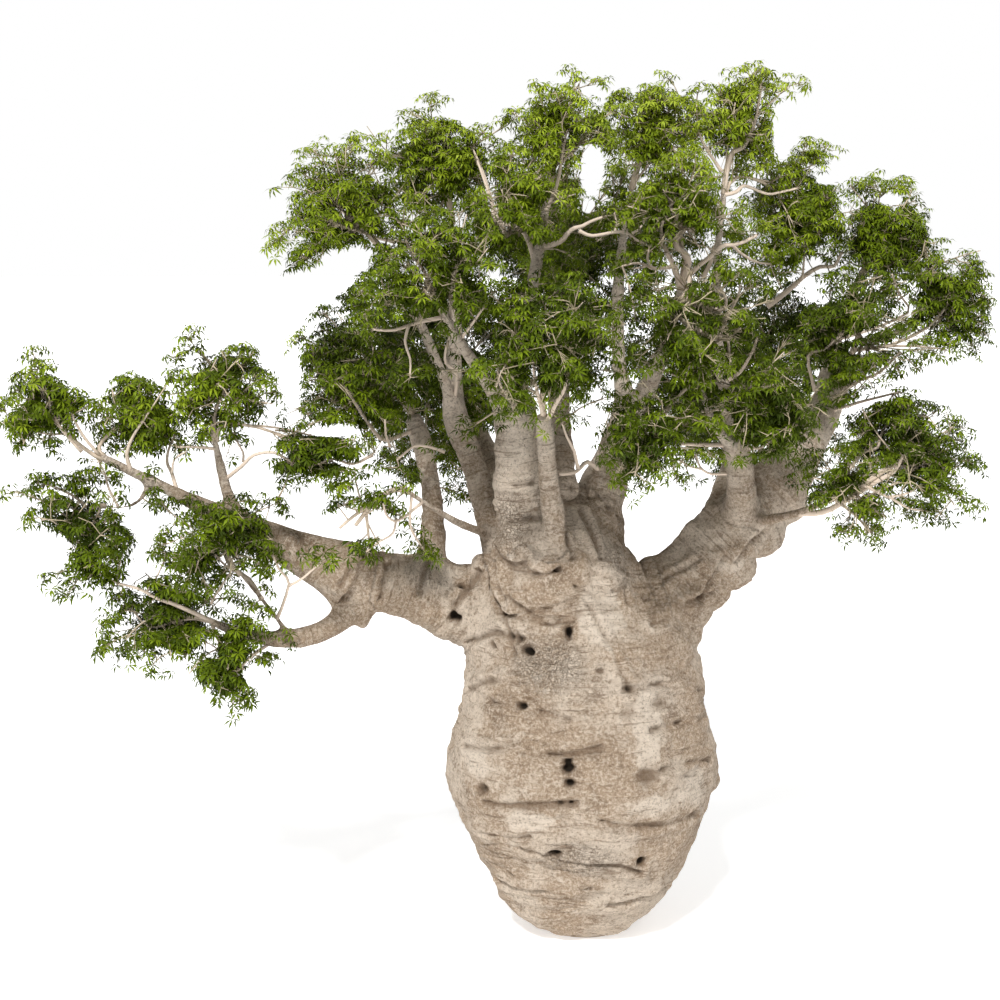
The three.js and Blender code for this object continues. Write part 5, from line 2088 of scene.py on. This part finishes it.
    def branch_line(self, branch: FineBranch) -> tuple[np.ndarray, np.ndarray]:
        """Run a fine branch through its points in a smooth and slightly crooked line.

        Args:
            branch: The branch.

        Returns:
            The points along it and the radius at each.
        """
        along = [0.0]
        for one, other in zip(branch.points, branch.points[1:]):
            along.append(along[-1] + math.dist(one, other))
        stops = [self.outlook.place(*spot, lerp(branch.start_back, branch.end_back, so_far / along[-1]))
                 for spot, so_far in zip(branch.points, along)]
        line = []
        for i in range(len(stops) - 1):
            p0, p1, p2, p3 = (stops[min(max(i + k, 0), len(stops) - 1)] for k in (-1, 0, 1, 2))
            for k in range(self.branch_steps):
                t = k / self.branch_steps
                bowed = (p1 * 2 + (p2 - p0) * t + (p0 * 2 - p1 * 5 + p2 * 4 - p3) * t * t
                         + (p1 * 3 - p0 - p2 * 3 + p3) * t**3) / 2
                line.append(bowed + drift(bowed * self.branch_noise) * self.branch_stray)
        line.append(stops[-1])
        radius = np.linspace(branch.thick * PIXEL, branch.thin * PIXEL, len(line))
        radius[0] *= self.branch_foot
        return np.array(line), radius

    def lay_branch(self, growth: Growth, branch: FineBranch) -> None:
        """Lay a fine branch from the wood that bears it, with a small spray at its end.

        Args:
            growth: What it is made with.
            branch: The branch.
        """
        line, radius = self.branch_line(branch)
        growth.twigs.branches.append((line, radius))
        self.held += [Vector(p) for p in line]
        self.spray(growth, Vector(line[-2]), Vector(line[-1]), self.branch_spray, 2)

    def add_tuft(self, growth: Growth, tuft: Tuft) -> None:
        """Grow a spray beyond the even ones, from the nearest wood.

        Args:
            growth: What it is made with.
            tuft: The tuft.
        """
        at = self.outlook.place(tuft.across, tuft.down, tuft.back)
        size = tuft.size * PIXEL
        held = [stem.point(i / 6) for stem in growth.mass.stems for i in range(7)] + self.held
        root = min(held, key=lambda point: (point - at).length)
        count = max(1, round(self.fans * math.pi * size**2 / self.fan_area))
        self.spray(growth, root, at, size, count)

    def note_boughs(self) -> None:
        """Keep where the boughs run: leaves stand clear of them, and the thin ones bear tufts."""
        line, radius = [], []
        for limb in self.limbs.values():
            steps = round(limb.length / self.bough_step)
            line += [limb.bend.point(i / steps) for i in range(steps + 1)]
            radius += [limb.radius(i / steps) for i in range(steps + 1)]
        self.bough_line, self.bough_radius = np.array(line), np.array(radius)
        self.held = [point for point, r in zip(line, radius) if r < self.bearing_radius]

    def build(self) -> None:
        """Grow every mass and join the twigs and leaves of each region."""
        self.note_boughs()
        masses = [Mass(plan, place(*plan.at)) for plan in MASSES]
        for mass in masses:
            mass.wall_off(masses)

        def owner(spot: Vector) -> Mass:
            """The mass whose walls hold a place best."""
            return min(masses, key=lambda mass: mass.past_walls(spot))

        branches, tufts = [], []
        for branch in (FineBranch.from_row(row) for row in BRANCH_ROWS):
            self.outlook.bare(*self.branch_line(branch))
            branches.append((branch, owner(self.outlook.place(*branch.points[-1], branch.end_back))))
        for opening in (Opening(*row) for row in OPENING_ROWS):
            self.outlook.uncover(opening.across, opening.down, (opening.wide, opening.tall), self.outlook.sky)
        for tuft in (Tuft(*row) for row in TUFT_ROWS):
            tufts.append((tuft, owner(self.outlook.place(tuft.across, tuft.down, tuft.back))))
        for region in Region:
            twigs, leaves = TwigBank(), LeafBank(self.outlook)
            own = [(number, mass) for number, mass in enumerate(masses, 1) if mass.plan.region is region]
            for number, mass in own:
                stem, thick = self.lay_stem(mass, masses)
                mass.stems.append(stem)
                self.grow(Growth(mass, Seeded(number * self.fine_seed), twigs, leaves), number, stem, thick)
                growth = Growth(mass, Seeded(number * self.branch_seed), twigs, leaves, True)
                for branch in (branch for branch, holder in branches if holder is mass):
                    self.lay_branch(growth, branch)
                for tuft in (tuft for tuft, holder in tufts if holder is mass):
                    self.add_tuft(growth, tuft)
            names = [mass.plan.name for _, mass in own]
            wood = twigs.mesh(f"{region.value}_twigs")
            green = leaves.mesh(f"{region.value}_leaves", len(names))
            for mesh, tones, slot in ((wood, twigs.tones, "bark"), (green, leaves.tones, "foliage")):
                for tone in tones:
                    mesh.materials.append(shared(tone))
                link(mesh.name, mesh, names)


def shared(finish: PlainFinish) -> bpy.types.Material:
    """The one material of a finish, made when it is first asked for."""
    return bpy.data.materials.get(finish.name) or finish.material()


@dataclass
class Studio:
    """A plain pale floor under soft light, seen from the photograph's place."""

    lens: float = 63.0
    sensor: float = 36.0
    floor_reach: float = 600.0
    floor: PlainFinish = PlainFinish("pale_floor", (0.95, 0.95, 0.95), 0.9, 0.5)
    sky: float = 0.56
    sun: float = 3.2
    sun_width: float = 7.0
    sun_turn: tuple[float, float] = (44.0, -16.0)
    fill: float = 0.8
    fill_width: float = 90.0
    fill_turn: tuple[float, float] = (78.0, 25.0)

    def build(self) -> None:
        """Build the floor, the light and the camera."""
        self.lay_floor()
        self.light()
        self.aim()

    def lay_floor(self) -> None:
        """Lay the floor at ground level."""
        body = bmesh.new()
        bmesh.ops.create_circle(body, cap_ends=True, segments=64, radius=self.floor_reach)
        mesh = bpy.data.meshes.new("floor")
        body.to_mesh(mesh)
        body.free()
        mesh.materials.append(shared(self.floor))
        floor = bpy.data.objects.new("floor", mesh)
        bpy.context.scene.collection.objects.link(floor)

    def light(self) -> None:
        """Light the tree from all round, and more strongly from above and in front.

        The sky lights the tree less than it shows, so that the backdrop stays white.
        """
        scene = bpy.context.scene
        scene.view_settings.view_transform = "Standard"
        world = bpy.data.worlds.new("soft_sky")
        scene.world = world
        world.use_nodes = True
        nodes = world.node_tree.nodes
        seen = nodes.new("ShaderNodeLightPath")
        strength = nodes.new("ShaderNodeMapRange")
        strength.inputs["To Min"].default_value = self.sky
        strength.inputs["To Max"].default_value = 1.0
        world.node_tree.links.new(seen.outputs["Is Camera Ray"], strength.inputs["Value"])
        world.node_tree.links.new(strength.outputs["Result"], nodes["Background"].inputs["Strength"])
        nodes["Background"].inputs["Color"].default_value = (1, 1, 1, 1)
        for name, strength, width, turn in (("sun", self.sun, self.sun_width, self.sun_turn),
                                            ("fill", self.fill, self.fill_width, self.fill_turn)):
            lamp = bpy.data.lights.new(name, "SUN")
            lamp.energy = strength
            lamp.angle = math.radians(width)
            sun = bpy.data.objects.new(name, lamp)
            sun.rotation_euler = (math.radians(turn[0]), math.radians(turn[1]), 0)
            scene.collection.objects.link(sun)

    def aim(self) -> None:
        """Set the camera where the photograph was taken from."""
        lens = bpy.data.cameras.new("camera")
        lens.lens = self.lens
        lens.sensor_width = self.sensor
        camera = bpy.data.objects.new("camera", lens)
        camera.location = CAMERA_AT
        camera.rotation_euler = (math.radians(CAMERA_TILT), 0, 0)
        bpy.context.scene.collection.objects.link(camera)
        bpy.context.scene.camera = camera


def main() -> None:
    """Build the tree and the studio round it."""
    logging.basicConfig(level=logging.INFO, format="%(relativeCreated)6d ms %(message)s")
    limbs = lay_limbs()
    Wood(limbs).build()
    Crown(limbs).build()
    Studio().build()


if __name__ == "__main__":
    main()
